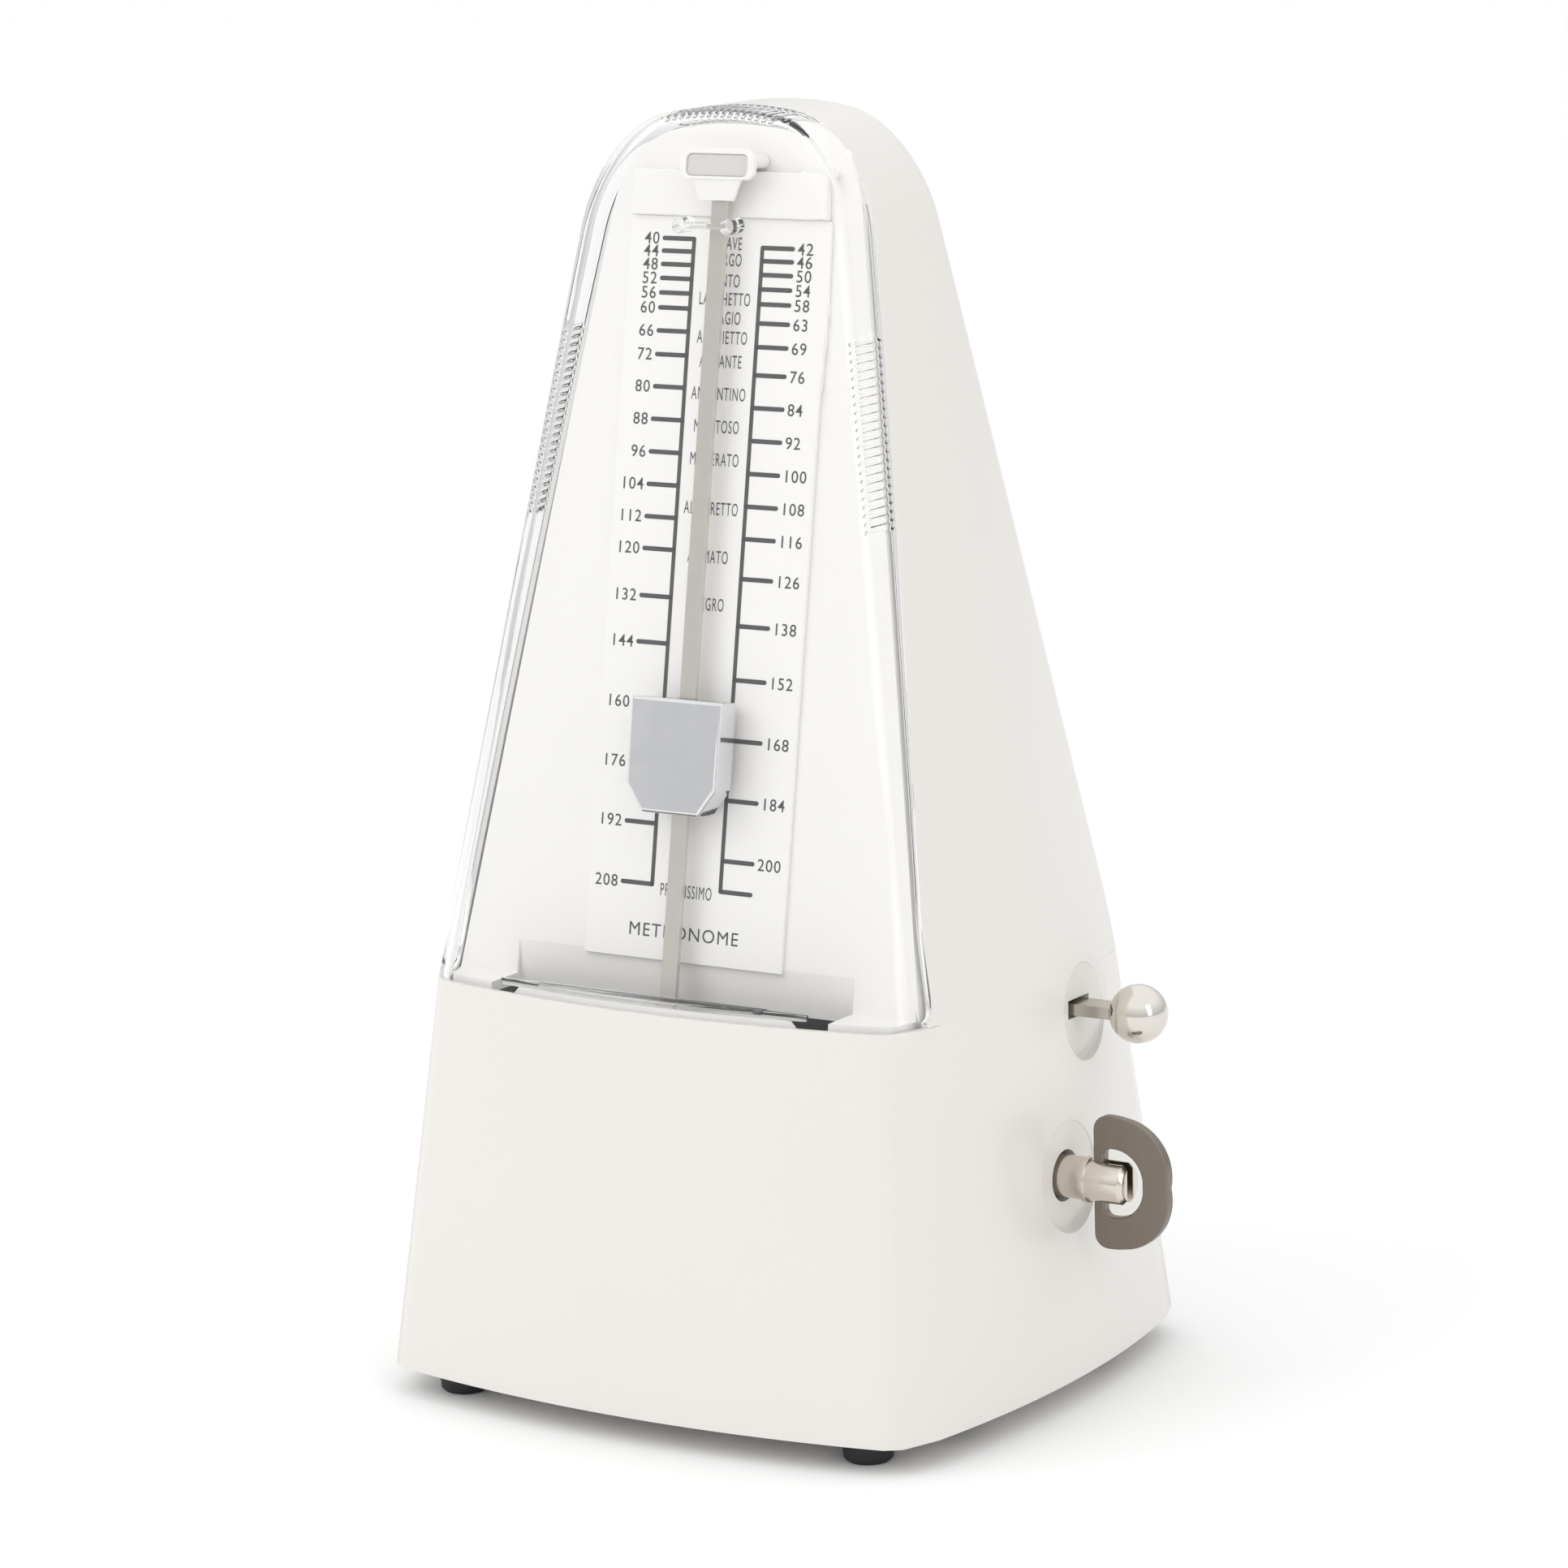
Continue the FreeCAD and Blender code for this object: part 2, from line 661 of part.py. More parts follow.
def make_rod_catch():
    """The stepped hood over the rod's tip: a root above it, a lip in front, open at both sides."""
    body = new_body("rod_catch")
    root_v = "catch_top_v - catch_roof"
    tip_v = "catch_top_v - catch_tall"
    front = "rod_stand_off + rod_thick / 2 + 0.5"
    hood = new_sketch(body, "XY_Plane", [[
        ("-catch_half_w + 1.5", "catch_top_v"), ("catch_half_w - 1.5", "catch_top_v"),
        ("catch_half_w", "catch_top_v - 1.5"), ("catch_half_w", root_v),
        ("catch_half_w - 1.2", root_v + " - 1.6"), ("catch_tip_half_w + 0.8", root_v + " - 2.2"),
        ("catch_tip_half_w", tip_v), ("-catch_tip_half_w", tip_v),
        ("-catch_tip_half_w - 0.8", root_v + " - 2.2"), ("-catch_half_w + 1.2", root_v + " - 1.6"),
        ("-catch_half_w", root_v), ("-catch_half_w", "catch_top_v - 1.5")]])
    hood.setExpression(".AttachmentOffset.Base.z", bound("-dial_thick"))
    pad(body, hood, front + " + catch_lip + dial_thick")
    doc.recompute()
    channel = new_sketch(body, "XY_Plane", [rectangle("-catch_half_w - 1", "0", "catch_half_w + 1", root_v)])
    channel.setExpression(".AttachmentOffset.Base.z", bound(front))
    pocket(body, channel, front + " + dial_thick")
    place(body, DIAL_AT, X_AXIS, LEAN_BACK)
    keep("rod_catch", body)


make_rod_catch()

# ---------------------------------------------------------------- pendulum

on_dial("pendulum_rod", [rectangle("-rod_wide / 2", "rod_low_v", "rod_wide / 2", "rod_top_v")],
        "rod_thick", "rod_stand_off - rod_thick / 2")
turned("pendulum_staff", "y", rod_profile("staff_front_y", "staff_rear_y", "staff_r"), ("0", "0", "pivot_z"))


def rod_back_y(z):
    """Where the rod's back face lies at one height."""
    return "(dial_low_y + dial_slope * (%s - shoulder_z) - (rod_stand_off - rod_thick / 2) / lean_cos)" % z


def make_hub():
    """The block that clamps the staff and carries the rod on its leaning front face."""
    body = new_body("pendulum_hub")
    side = new_sketch(body, "YZ_Plane", [[
        (rod_back_y("hub_low_z"), "hub_low_z"), ("hub_rear_y", "hub_low_z"),
        ("hub_rear_y", "hub_top_z"), (rod_back_y("hub_top_z"), "hub_top_z")]])
    pad(body, side, "2 * hub_half_w")
    body.Tip.SideType = "Symmetric"
    doc.recompute()
    bore = new_sketch(body, "XZ_Plane", circles=[(("0", "pivot_z"), "staff_r")])
    pocket(body, bore, "-2 * staff_front_y", both=True)
    doc.recompute()
    stem = new_sketch(body, "XY_Plane", circles=[(("0", "bob_y"), "stem_r")])
    pocket(body, stem, "hub_low_z + 3", reverse=True)
    place(body)
    keep("pendulum_hub", body)


make_hub()
turned("bob_stem", "z", rod_profile("bob_z", "hub_low_z + 3", "stem_r"), ("0", "bob_y", "0"))


def make_bob():
    body = new_body("pendulum_bob")
    half = "bob_thick / 2"
    profile = [("bob_y - " + half, "0"), ("bob_y + " + half, "0"), ("bob_y + " + half, "bob_r - 1"),
               ("bob_y + " + half + " - 1", "bob_r"), ("bob_y - " + half + " + 1", "bob_r"),
               ("bob_y - " + half, "bob_r - 1")]
    revolve(body, new_sketch(body, "XY_Plane", [[(radius, along) for along, radius in profile]]), "V_Axis")
    doc.recompute()
    stem = new_sketch(body, "XY_Plane", circles=[(("0", "bob_y"), "stem_r")])
    pocket(body, stem, "bob_r + 1", reverse=True)
    place(body, ("0", "0", "bob_z"))
    keep("pendulum_bob", body)


make_bob()


def make_pallets():
    """Two flags on the staff, either side of the crown wheel's centre, spread about its axis."""
    flags = []
    rows = (("front_flag", "key_y - crown_r + crown_rim / 2", "180 - pallet_angle", "1"),
            ("rear_flag", "key_y + crown_r - crown_rim / 2", "180 + pallet_angle", "0"))
    for name, along, angle, outer in rows:
        flag = doc.addObject("Part::Box", name)
        turn = "((" + angle + ") * 1 deg)"
        for prop, text in (("Length", "pallet_reach - staff_r * 0.85"), ("Width", "pallet_long"),
                           ("Height", "pallet_thick")):
            flag.setExpression(prop, bound(text))
        across = "cos(" + turn + ") * staff_r * 0.85 + sin(" + turn + ") * pallet_thick * " + outer
        up = "pivot_z + sin(" + turn + ") * staff_r * 0.85 - cos(" + turn + ") * pallet_thick * " + outer
        place(flag, (across, along + " - pallet_long / 2", up), -Y_AXIS, angle)
        flags.append(flag)
    pair = doc.addObject("Part::Compound", "verge_pallets")
    pair.Links = flags
    keep("verge_pallets", pair)


make_pallets()


def make_weight():
    """The shield-shaped slider: bevelled low corners and a through slot for the rod."""
    body = new_body("sliding_weight")
    low = "weight_top_v - weight_tall"
    shield = new_sketch(body, "XY_Plane", [[
        ("-weight_half_w", "weight_top_v"), ("-weight_half_w", low + " + weight_cut_tall"),
        ("-weight_half_w + weight_cut_w", low), ("weight_half_w - weight_cut_w", low),
        ("weight_half_w", low + " + weight_cut_tall"), ("weight_half_w", "weight_top_v")]])
    shield.setExpression(".AttachmentOffset.Base.z", bound("rod_stand_off - weight_back"))
    pad(body, shield, "weight_back + weight_front")
    doc.recompute()
    slot = new_sketch(body, "XZ_Plane", [rectangle(
        "-rod_wide / 2 - run_gap", "rod_stand_off - rod_thick / 2 - run_gap",
        "rod_wide / 2 + run_gap", "rod_stand_off + rod_thick / 2 + leaf_room")])
    pocket(body, slot, "4 * crown_z", both=True)
    doc.recompute()
    slotted = body.Tip
    front_z = value("rod_stand_off + weight_front")
    faces = [i for i, face in enumerate(slotted.Shape.Faces, start=1)
             if face.BoundBox.ZLength < 0.01 and abs(face.CenterOfMass.z - front_z) < 0.01]
    bevel = body.newObject("PartDesign::Chamfer", "weight_bevel")
    bevel.Base = (slotted, ["Face%d" % faces[0]])
    bevel.setExpression("Size", "dims.weight_bevel")
    body.Tip = bevel
    place(body, DIAL_AT, X_AXIS, LEAN_BACK)
    keep("sliding_weight", body)


make_weight()
on_dial("weight_leaf_spring",
        [rectangle("-rod_wide / 2 + 0.2", "weight_top_v - weight_tall + 2", "rod_wide / 2 - 0.2",
                   "weight_top_v - 2")],
        "leaf_thick", "rod_stand_off + rod_thick / 2 + leaf_room - leaf_thick")

# ---------------------------------------------------------------- movement frame


def frame_plate(name, left_x, top_step, holes, slots=()):
    """A side plate across the movement, with its arbor holes and a slot for the selector."""
    outline = [("front_bridge_y", "frame_low_z"), ("rear_bridge_y", "frame_low_z"),
               ("rear_bridge_y", "frame_top_z - " + top_step), ("-10", "frame_top_z - " + top_step),
               ("front_bridge_y", "frame_top_z - 8 - " + top_step)]
    return plate(name, "YZ_Plane", [outline] + list(slots), holes, "plate_thick", (left_x, "0", "0"))


SELECTOR_SLOT = rectangle(
    "selector_y - selector_wide / 2 - run_gap", "selector_z - selector_thick / 2 - run_gap",
    "selector_y + selector_wide / 2 + run_gap", "selector_z + selector_thick / 2 + run_gap")
INTER_HOLE = (("inter_y", "inter_z"), "inter_arbor_r + run_gap")
WINDING_HOLE = (("key_y", "key_z"), "arbor_r + run_gap")
POST_HOLES = [(("post_front_y", "frame_screw_z"), "screw_r"), (("post_rear_y", "frame_screw_z"), "screw_r")]
CLICK_AT = ("key_y - click_back", "key_z + click_rise")
CLICK_HOLE = (CLICK_AT, "screw_r")
ESCAPE_HOLE = (("key_y", "pivot_z"), "escape_arbor_r + run_gap")

frame_plate("right_plate", "right_plate_x", "0", [INTER_HOLE, WINDING_HOLE, CLICK_HOLE] + POST_HOLES,
            [SELECTOR_SLOT])
frame_plate("centre_plate", "centre_plate_x", "8", [INTER_HOLE, WINDING_HOLE], [SELECTOR_SLOT])
frame_plate("left_plate", "left_plate_x", "6", [INTER_HOLE, ESCAPE_HOLE] + POST_HOLES)
plate("escape_cock", "YZ_Plane",
      [rectangle("front_bridge_y", "pivot_z - 5", "rear_bridge_y", "pivot_z + 4")], [ESCAPE_HOLE],
      "plate_thick", ("cock_x", "0", "0"))
BRIDGE = rectangle("left_plate_x", "pivot_z - 12", "right_plate_x + plate_thick", "pivot_z + 14")
BUSH_HOLE = (("0", "pivot_z"), "bush_r")
plate("front_bridge", "XZ_Plane", [BRIDGE], [BUSH_HOLE], "plate_thick", ("0", "front_bridge_y", "0"))
plate("rear_bridge", "XZ_Plane", [BRIDGE], [BUSH_HOLE], "plate_thick", ("0", "rear_bridge_y", "0"),
      reverse=True)
for bush, low_y in (("front_bush", "front_bridge_y - plate_thick"), ("rear_bush", "rear_bridge_y")):
    turned(bush, "y", [(low_y + " - bush_over", "staff_r + run_gap"),
                       (low_y + " + plate_thick + bush_over", "staff_r + run_gap"),
                       (low_y + " + plate_thick + bush_over", "bush_r"), (low_y + " - bush_over", "bush_r")],
           ("0", "0", "pivot_z"))

# ---------------------------------------------------------------- winding work and mainspring

turned("winding_arbor", "x", rod_profile("centre_plate_x - 1", "key_side_x - 4", "arbor_r"),
       ("0", "key_y", "key_z"))


def make_key_shank():
    """The socket of the key: bored for the arbor, ringed, and slit for the plate."""
    body = new_body("key_shank")
    start = "ratchet_x + ratchet_thick + 1"
    end = "key_plate_x + key_shank_over"
    profile = [(start, "arbor_r"), ("key_side_x - 4", "arbor_r"), ("key_side_x - 4", "0"), (end, "0"),
               (end, "key_shank_r - 0.8"), (end + " - 0.8", "key_shank_r"),
               ("key_plate_x - 0.6", "key_shank_r"), ("key_plate_x - 0.6", "key_shank_r + 0.35"),
               ("key_plate_x - 1.6", "key_shank_r + 0.35"), ("key_plate_x - 1.6", "key_shank_r"),
               (start, "key_shank_r")]
    revolve(body, new_sketch(body, "XY_Plane", [profile]), "H_Axis")
    doc.recompute()
    slit = new_sketch(body, "XY_Plane", [rectangle(
        "key_plate_x", "-key_plate_thick / 2", end + " + 1", "key_plate_thick / 2")])
    pocket(body, slit, "4 * key_shank_r", both=True)
    place(body, ("0", "key_y", "key_z"))
    keep("key_shank", body)


make_key_shank()


def make_key_plate():
    """A flat D: straight towards the case, bulging outwards, with a D-shaped eye."""
    left = size("key_plate_x")
    wide = size("key_plate_wide")
    half = size("key_plate_half_h")
    thick = size("key_plate_thick")
    eye_left = left + size("key_eye_left")

    front = size("key_y") - thick / 2
    middle = size("key_z")

    def outline(near, breadth, half_h, bulge):
        spots = [(0.0, 0.97), (0.25, 1.0), (0.42, 0.975), (0.84, bulge), (1.0, 0.0)]
        upper = [V(near + breadth * share, front, middle + half_h * rise) for share, rise in spots]
        lower = [V(near + breadth * share, front, middle - half_h * rise) for share, rise in spots]
        edges = [Part.makeLine(lower[0], upper[0]),
                 Part.Arc(upper[0], upper[1], upper[2]).toShape(),
                 Part.Arc(upper[2], upper[3], upper[4]).toShape(),
                 Part.Arc(lower[4], lower[3], lower[2]).toShape(),
                 Part.Arc(lower[2], lower[1], lower[0]).toShape()]
        blank = Part.Face(Part.Wire(edges)).extrude(V(0, thick, 0))
        inner_corners = [edge for edge in blank.Edges
                         if edge.BoundBox.YLength > thick * 0.9 and edge.BoundBox.XMax < near + 0.1]
        return blank.makeFillet(breadth * 0.18, inner_corners)

    blank = outline(left, wide, half, 0.72)
    eye = outline(eye_left, size("key_eye_wide"), size("key_eye_half_h"), 0.66)
    shell_part("key_plate", blank.cut(eye))


make_key_plate()


def gear_face(module, teeth):
    """The face of an involute wheel, one tooth centred on its +X."""
    builder = fcgear.FCWireBuilder()
    involute.CreateExternalGear(builder, size(module), int(size(teeth)), 20.0, True)
    return Part.Face(Part.Wire([item.toShape() for item in builder.wire]))


def ratchet_face():
    """Saw teeth: each rises from the root to the tip, then drops straight down."""
    teeth = int(size("ratchet_teeth"))
    step = 2 * math.pi / teeth
    root = size("ratchet_r") - size("ratchet_bite")
    points = []
    for i in range(teeth):
        for radius, angle in ((root, i * step), (size("ratchet_r"), (i + 1) * step)):
            points.append(V(radius * math.cos(angle), radius * math.sin(angle), 0))
    return Part.Face(Part.makePolygon(points + points[:1]))


def spiral_face(inner, outer, turns, strip):
    """The wound mainspring seen along its axis: a strip between two spirals."""
    steps = int(turns * 12)
    sides = []
    for offset in (0.0, strip):
        points = []
        for i in range(steps + 1):
            angle = 2 * math.pi * turns * i / steps
            radius = inner + (outer - strip - inner) * i / steps + offset
            points.append(V(radius * math.cos(angle), radius * math.sin(angle), 0))
        curve = Part.BSplineCurve()
        curve.interpolate(points)
        sides.append(curve.toShape())
    ends = [Part.makeLine(sides[0].Vertexes[k].Point, sides[1].Vertexes[k].Point) for k in (0, -1)]
    return Part.Face(Part.Wire([sides[0], ends[1], sides[1], ends[0]]))


def arbor_wheel(name, face, thick, bore, at, turn=0.0):
    """A wheel cut from a flat outline, bored, and stood on its X arbor, turned by turn degrees."""
    rim = doc.addObject("Part::Feature", name + "_outline")
    rim.Shape = face
    wheel = doc.addObject("Part::Extrusion", name if bore is None else name + "_blank")
    wheel.Base = rim
    wheel.DirMode = "Custom"
    wheel.Dir = Z_AXIS
    wheel.Solid = True
    wheel.setExpression("LengthFwd", bound(thick))
    if bore is not None:
        hole = doc.addObject("Part::Cylinder", name + "_bore")
        hole.setExpression("Radius", bound(bore))
        hole.setExpression("Height", bound(thick))
        blank = wheel
        wheel = doc.addObject("Part::Cut", name)
        wheel.Base = blank
        wheel.Tool = hole
    tilt = FreeCAD.Rotation(Y_AXIS, 90)
    wheel.Placement = FreeCAD.Placement(V(), tilt.multiply(FreeCAD.Rotation(Z_AXIS, turn)))
    place(wheel, at)
    return keep(name, wheel)


def turn_towards(angle):
    """The turn that brings a wheel's own +X to an angle counted from +Y towards +Z."""
    return angle + 90.0


def half_tooth(teeth):
    return 180.0 / size(teeth)


to_inter = math.degrees(math.atan2(size("inter_z") - size("key_z"), size("inter_y") - size("key_y")))
to_escape = math.degrees(math.atan2(size("pivot_z") - size("inter_z"), size("key_y") - size("inter_y")))

arbor_wheel("great_wheel", gear_face("great_module", "great_teeth"), "great_thick",
            "arbor_r + run_gap", ("great_x", "key_y", "key_z"), turn_towards(to_inter))
arbor_wheel("inter_pinion", gear_face("great_module", "inter_pinion_teeth"), "inter_pinion_long",
            "inter_arbor_r", ("inter_pinion_x", "inter_y", "inter_z"),
            turn_towards(to_inter + 180.0) + half_tooth("inter_pinion_teeth"))
arbor_wheel("inter_wheel", gear_face("fine_module", "inter_wheel_teeth"), "inter_wheel_thick",
            "inter_arbor_r", ("inter_wheel_x", "inter_y", "inter_z"), turn_towards(to_escape))
arbor_wheel("escape_pinion", gear_face("fine_module", "escape_pinion_teeth"), "escape_pinion_long",
            "escape_arbor_r", ("escape_pinion_x", "key_y", "pivot_z"),
            turn_towards(to_escape + 180.0) + half_tooth("escape_pinion_teeth"))
CLICK_FACE_ANGLE = 100.0
arbor_wheel("ratchet_wheel", ratchet_face(), "ratchet_thick", "arbor_r",
            ("ratchet_x", "key_y", "key_z"), turn_towards(CLICK_FACE_ANGLE))
turned("inter_arbor", "x", rod_profile("left_plate_x", "right_plate_x + plate_thick", "inter_arbor_r"),
       ("0", "inter_y", "inter_z"))
turned("escape_arbor", "x",
       rod_profile("left_plate_x", "crown_tip_x - crown_deep + crown_web", "escape_arbor_r"),
       ("0", "key_y", "pivot_z"))

BARREL_FLOOR = "great_x + great_thick"
turned("spring_barrel", "x",
       [(BARREL_FLOOR, "arbor_r + run_gap"), (BARREL_FLOOR + " + barrel_wall", "arbor_r + run_gap"),
        (BARREL_FLOOR + " + barrel_wall", "barrel_r - barrel_wall"),
        (BARREL_FLOOR + " + barrel_long", "barrel_r - barrel_wall"),
        (BARREL_FLOOR + " + barrel_long", "barrel_r"), (BARREL_FLOOR, "barrel_r")],
       ("0", "key_y", "key_z"))
turned("barrel_cap", "x",
       rod_profile(BARREL_FLOOR + " + barrel_long", BARREL_FLOOR + " + barrel_long + barrel_cap",
                   "barrel_r", "arbor_r + run_gap"), ("0", "key_y", "key_z"))
arbor_wheel("mainspring",
            spiral_face(size("arbor_r") + 0.6, size("barrel_r") - size("barrel_wall") - 0.05,
                        size("spring_turns"), size("spring_strip")),
            "barrel_long - barrel_wall - 1.4", None,
            (BARREL_FLOOR + " + barrel_wall + 0.7", "key_y", "key_z"))


def make_crown_wheel():
    """The escape wheel: a shallow cup whose rim is cut into slanting teeth."""
    body = new_body("crown_wheel")
    back = "crown_tip_x - crown_deep"
    profile = [(back, "escape_arbor_r"), (back + " + crown_web", "escape_arbor_r"),
               (back + " + crown_web", "crown_r - crown_rim"), ("crown_tip_x", "crown_r - crown_rim"),
               ("crown_tip_x", "crown_r"), (back, "crown_r")]
    revolve(body, new_sketch(body, "XY_Plane", [profile]), "H_Axis")
    doc.recompute()
    half = "pi * (crown_r - crown_rim) / crown_teeth - 0.12"
    gap = new_sketch(body, "XY_Plane", [[
        ("crown_tip_x + 0.1", "-(" + half + ")"), ("crown_tip_x + 0.1", half),
        ("crown_tip_x - crown_tooth_tall", "-(" + half + ") + 0.4"),
        ("crown_tip_x - crown_tooth_tall", "-(" + half + ") + 0.1")]])
    cut = pocket(body, gap, "crown_r + 1", reverse=True)
    doc.recompute()
    ring = body.newObject("PartDesign::PolarPattern", "crown_teeth_ring")
    ring.Originals = [cut]
    ring.Axis = (gap, ["H_Axis"])
    ring.Angle = 360.0
    ring.setExpression("Occurrences", "dims.crown_teeth")
    body.Tip = ring
    place(body, ("0", "key_y", "pivot_z"))
    keep("crown_wheel", body)


make_crown_wheel()

plate("click", "YZ_Plane",
      [[("key_y - 1.62", "key_z + 7.15"), ("key_y - 1.75", "key_z + 8.6"),
        ("key_y - click_back + 0.5", "key_z + click_rise + 2.2"),
        ("key_y - click_back - 2", "key_z + click_rise + 1.6"),
        ("key_y - click_back - 2", "key_z + click_rise - 1.8"), ("key_y - 3.4", "key_z + 8")]],
      [(CLICK_AT, "screw_r + run_gap")], "ratchet_thick", ("ratchet_x", "0", "0"))
CLICK_END = "ratchet_x + ratchet_thick + 0.3"
turned("click_spring", "x", rod_profile(CLICK_END, CLICK_END + " + 1.4", "screw_r + 0.9", "screw_r + 0.1"),
       ("0",) + CLICK_AT)
turned("click_screw", "x",
       [("right_plate_x", "0"), (CLICK_END + " + 3", "0"), (CLICK_END + " + 3", "screw_head_r"),
        (CLICK_END + " + 1.6", "screw_head_r"), (CLICK_END + " + 1.6", "screw_r"),
        ("right_plate_x", "screw_r")], ("0",) + CLICK_AT)

# ---------------------------------------------------------------- bell work and beat selector


def make_cam_drum():
    """A sleeve with four rings of 2, 3, 4 and 6 lobes, one ring for each bell setting."""
    body = new_body("bell_cam_drum")
    start = "hammer_x + selector_step - cam_ring_wide / 2 - 0.5"
    end = "hammer_x + 4 * selector_step + cam_ring_wide / 2 + 0.5"
    sleeve = rod_profile(start, end, "cam_r", "inter_arbor_r")
    revolve(body, new_sketch(body, "XY_Plane", [sleeve]), "H_Axis")
    doc.recompute()
    for ring, lobes in enumerate((2, 3, 4, 6), start=1):
        middle = "(hammer_x + %d * selector_step)" % ring
        outline = new_sketch(body, "XY_Plane", [rectangle(
            middle + " - cam_ring_wide / 2", "-0.5", middle + " + cam_ring_wide / 2", "0.5")])
        outline.setExpression(".AttachmentOffset.Base.z", bound("(cam_r + inter_arbor_r) / 2"))
        lobe = pad(body, outline, "cam_lobe_r - (cam_r + inter_arbor_r) / 2")
        doc.recompute()
        pattern = body.newObject("PartDesign::PolarPattern", "lobes_%d" % lobes)
        pattern.Originals = [lobe]
        pattern.Axis = (plane_of(body, "X_Axis"), [""])
        pattern.Angle = 360.0
        pattern.Occurrences = lobes
        body.Tip = pattern
        doc.recompute()
    place(body, ("0", "inter_y", "inter_z"))
    keep("bell_cam_drum", body)


make_cam_drum()


def make_selector_bar():
    """The flat slide bar: a row of notches on its top, one for each setting."""
    body = new_body("selector_bar")
    half_y = "selector_wide / 2"
    half_z = "selector_thick / 2"
    side = new_sketch(body, "XY_Plane", [rectangle(
        "selector_inner_x", "-" + half_y, "knob_x - knob_r / 2", half_y)])
    side.setExpression(".AttachmentOffset.Base.z", bound("-" + half_z))
    pad(body, side, "selector_thick")
    doc.recompute()
    notch = new_sketch(body, "XZ_Plane", [[
        ("right_plate_x + 5", half_z + " + 0.1"), ("right_plate_x + 6", half_z + " + 0.1"),
        ("right_plate_x + 5.5", half_z + " - 0.5")]])
    cut = pocket(body, notch, "2 * selector_wide", both=True)
    doc.recompute()
    row = body.newObject("PartDesign::LinearPattern", "notch_row")
    row.Originals = [cut]
    row.Direction = (notch, ["H_Axis"])
    row.setExpression("Length", bound("4 * selector_step"))
    row.Occurrences = 5
    body.Tip = row
    place(body, ("0", "selector_y", "selector_z"))
    keep("selector_bar", body)


make_selector_bar()


def primitive(kind, name, at, axis=None, angle="0", **sizes):
    obj = doc.addObject(kind, name)
    for prop, text in sizes.items():
        obj.setExpression(prop, bound(text))
    place(obj, at, axis, angle)
    return obj


def boolean(kind, name, base, tool):
    obj = doc.addObject(kind, name)
    obj.Base = base
    obj.Tool = tool
    return obj


def make_knob():
    """A ball with a socket for the bar's end and a set-screw hole underneath."""
    ball = primitive("Part::Sphere", "knob_ball", ("knob_x", "selector_y", "selector_z"), Radius="knob_r")
    socket = primitive("Part::Box", "knob_socket",
                       ("knob_x - 2 * knob_r", "selector_y - selector_wide / 2",
                        "selector_z - selector_thick / 2"),
                       Length="1.5 * knob_r", Width="selector_wide", Height="selector_thick")
    hole = primitive("Part::Cylinder", "knob_screw_hole",
                     ("knob_x - 1", "selector_y", "selector_z - knob_r - 1"),
                     Radius="screw_r * 0.7", Height="3")
    bored = boolean("Part::Cut", "knob_bored", ball, socket)
    keep("selector_knob", boolean("Part::Cut", "selector_knob", bored, hole))


make_knob()
plate("hammer_carrier", "YZ_Plane",
      [rectangle("selector_y - selector_wide / 2", "selector_z + selector_thick / 2",
                 "selector_y + selector_wide / 2", "hammer_pin_z + 2")],
      [(("selector_y", "hammer_pin_z"), "hammer_pin_r")], "carrier_long",
      ("hammer_x + hammer_arm_thick / 2 + 0.4", "0", "0"))
turned("hammer_pin", "x",
       rod_profile("hammer_x - hammer_arm_thick / 2 - 0.3",
                   "hammer_x + hammer_arm_thick / 2 + 0.4 + carrier_long", "hammer_pin_r"),
       ("0", "selector_y", "hammer_pin_z"))
plate("hammer_arm", "YZ_Plane",
      [[("selector_y - 1", "hammer_head_z"), ("selector_y + 1", "hammer_head_z"),
        ("selector_y + 1.6", "hammer_pin_z - 1.2"), ("selector_y - 1", "hammer_pin_z - 2"),
        ("hammer_tail_y + 0.9", "hammer_pin_z - 1.6"), ("hammer_tail_y + 0.8", "hammer_tail_z"),
        ("hammer_tail_y - 0.7", "hammer_tail_z"), ("hammer_tail_y - 0.9", "hammer_pin_z"),
        ("selector_y - 1.2", "hammer_pin_z + 1.8")]],
      [(("selector_y", "hammer_pin_z"), "hammer_pin_r + run_gap")], "hammer_arm_thick",
      ("hammer_x - hammer_arm_thick / 2", "0", "0"))


def make_hammer_head():
    head = primitive("Part::Cylinder", "head_blank",
                     ("hammer_x", "selector_y + hammer_head_long / 2", "hammer_head_z"), X_AXIS, "90",
                     Radius="hammer_head_r", Height="hammer_head_long")
    slit = primitive("Part::Box", "head_slit",
                     ("hammer_x - hammer_arm_thick / 2", "selector_y - 1.25",
                      "hammer_head_z - 2 * hammer_head_r"),
                     Length="hammer_arm_thick", Width="2.5", Height="2 * hammer_head_r")
    keep("hammer_head", boolean("Part::Cut", "hammer_head", head, slit))


make_hammer_head()


def make_bell():
    """A half-round gong, open below, held at its crown by a post and a nut."""
    at = ("bell_x", "bell_y", "bell_rim_z")
    outer = primitive("Part::Sphere", "bell_outer", at, Radius="bell_r")
    inner = primitive("Part::Sphere", "bell_inner", at, Radius="bell_r - bell_wall")
    hole = primitive("Part::Cylinder", "bell_hole", at, Radius="bell_post_r * 0.6", Height="2 * bell_r")
    for ball in (outer, inner):
        ball.Angle1 = 0
    cup = boolean("Part::Cut", "bell_cup", outer, inner)
    keep("bell", boolean("Part::Cut", "bell", cup, hole))


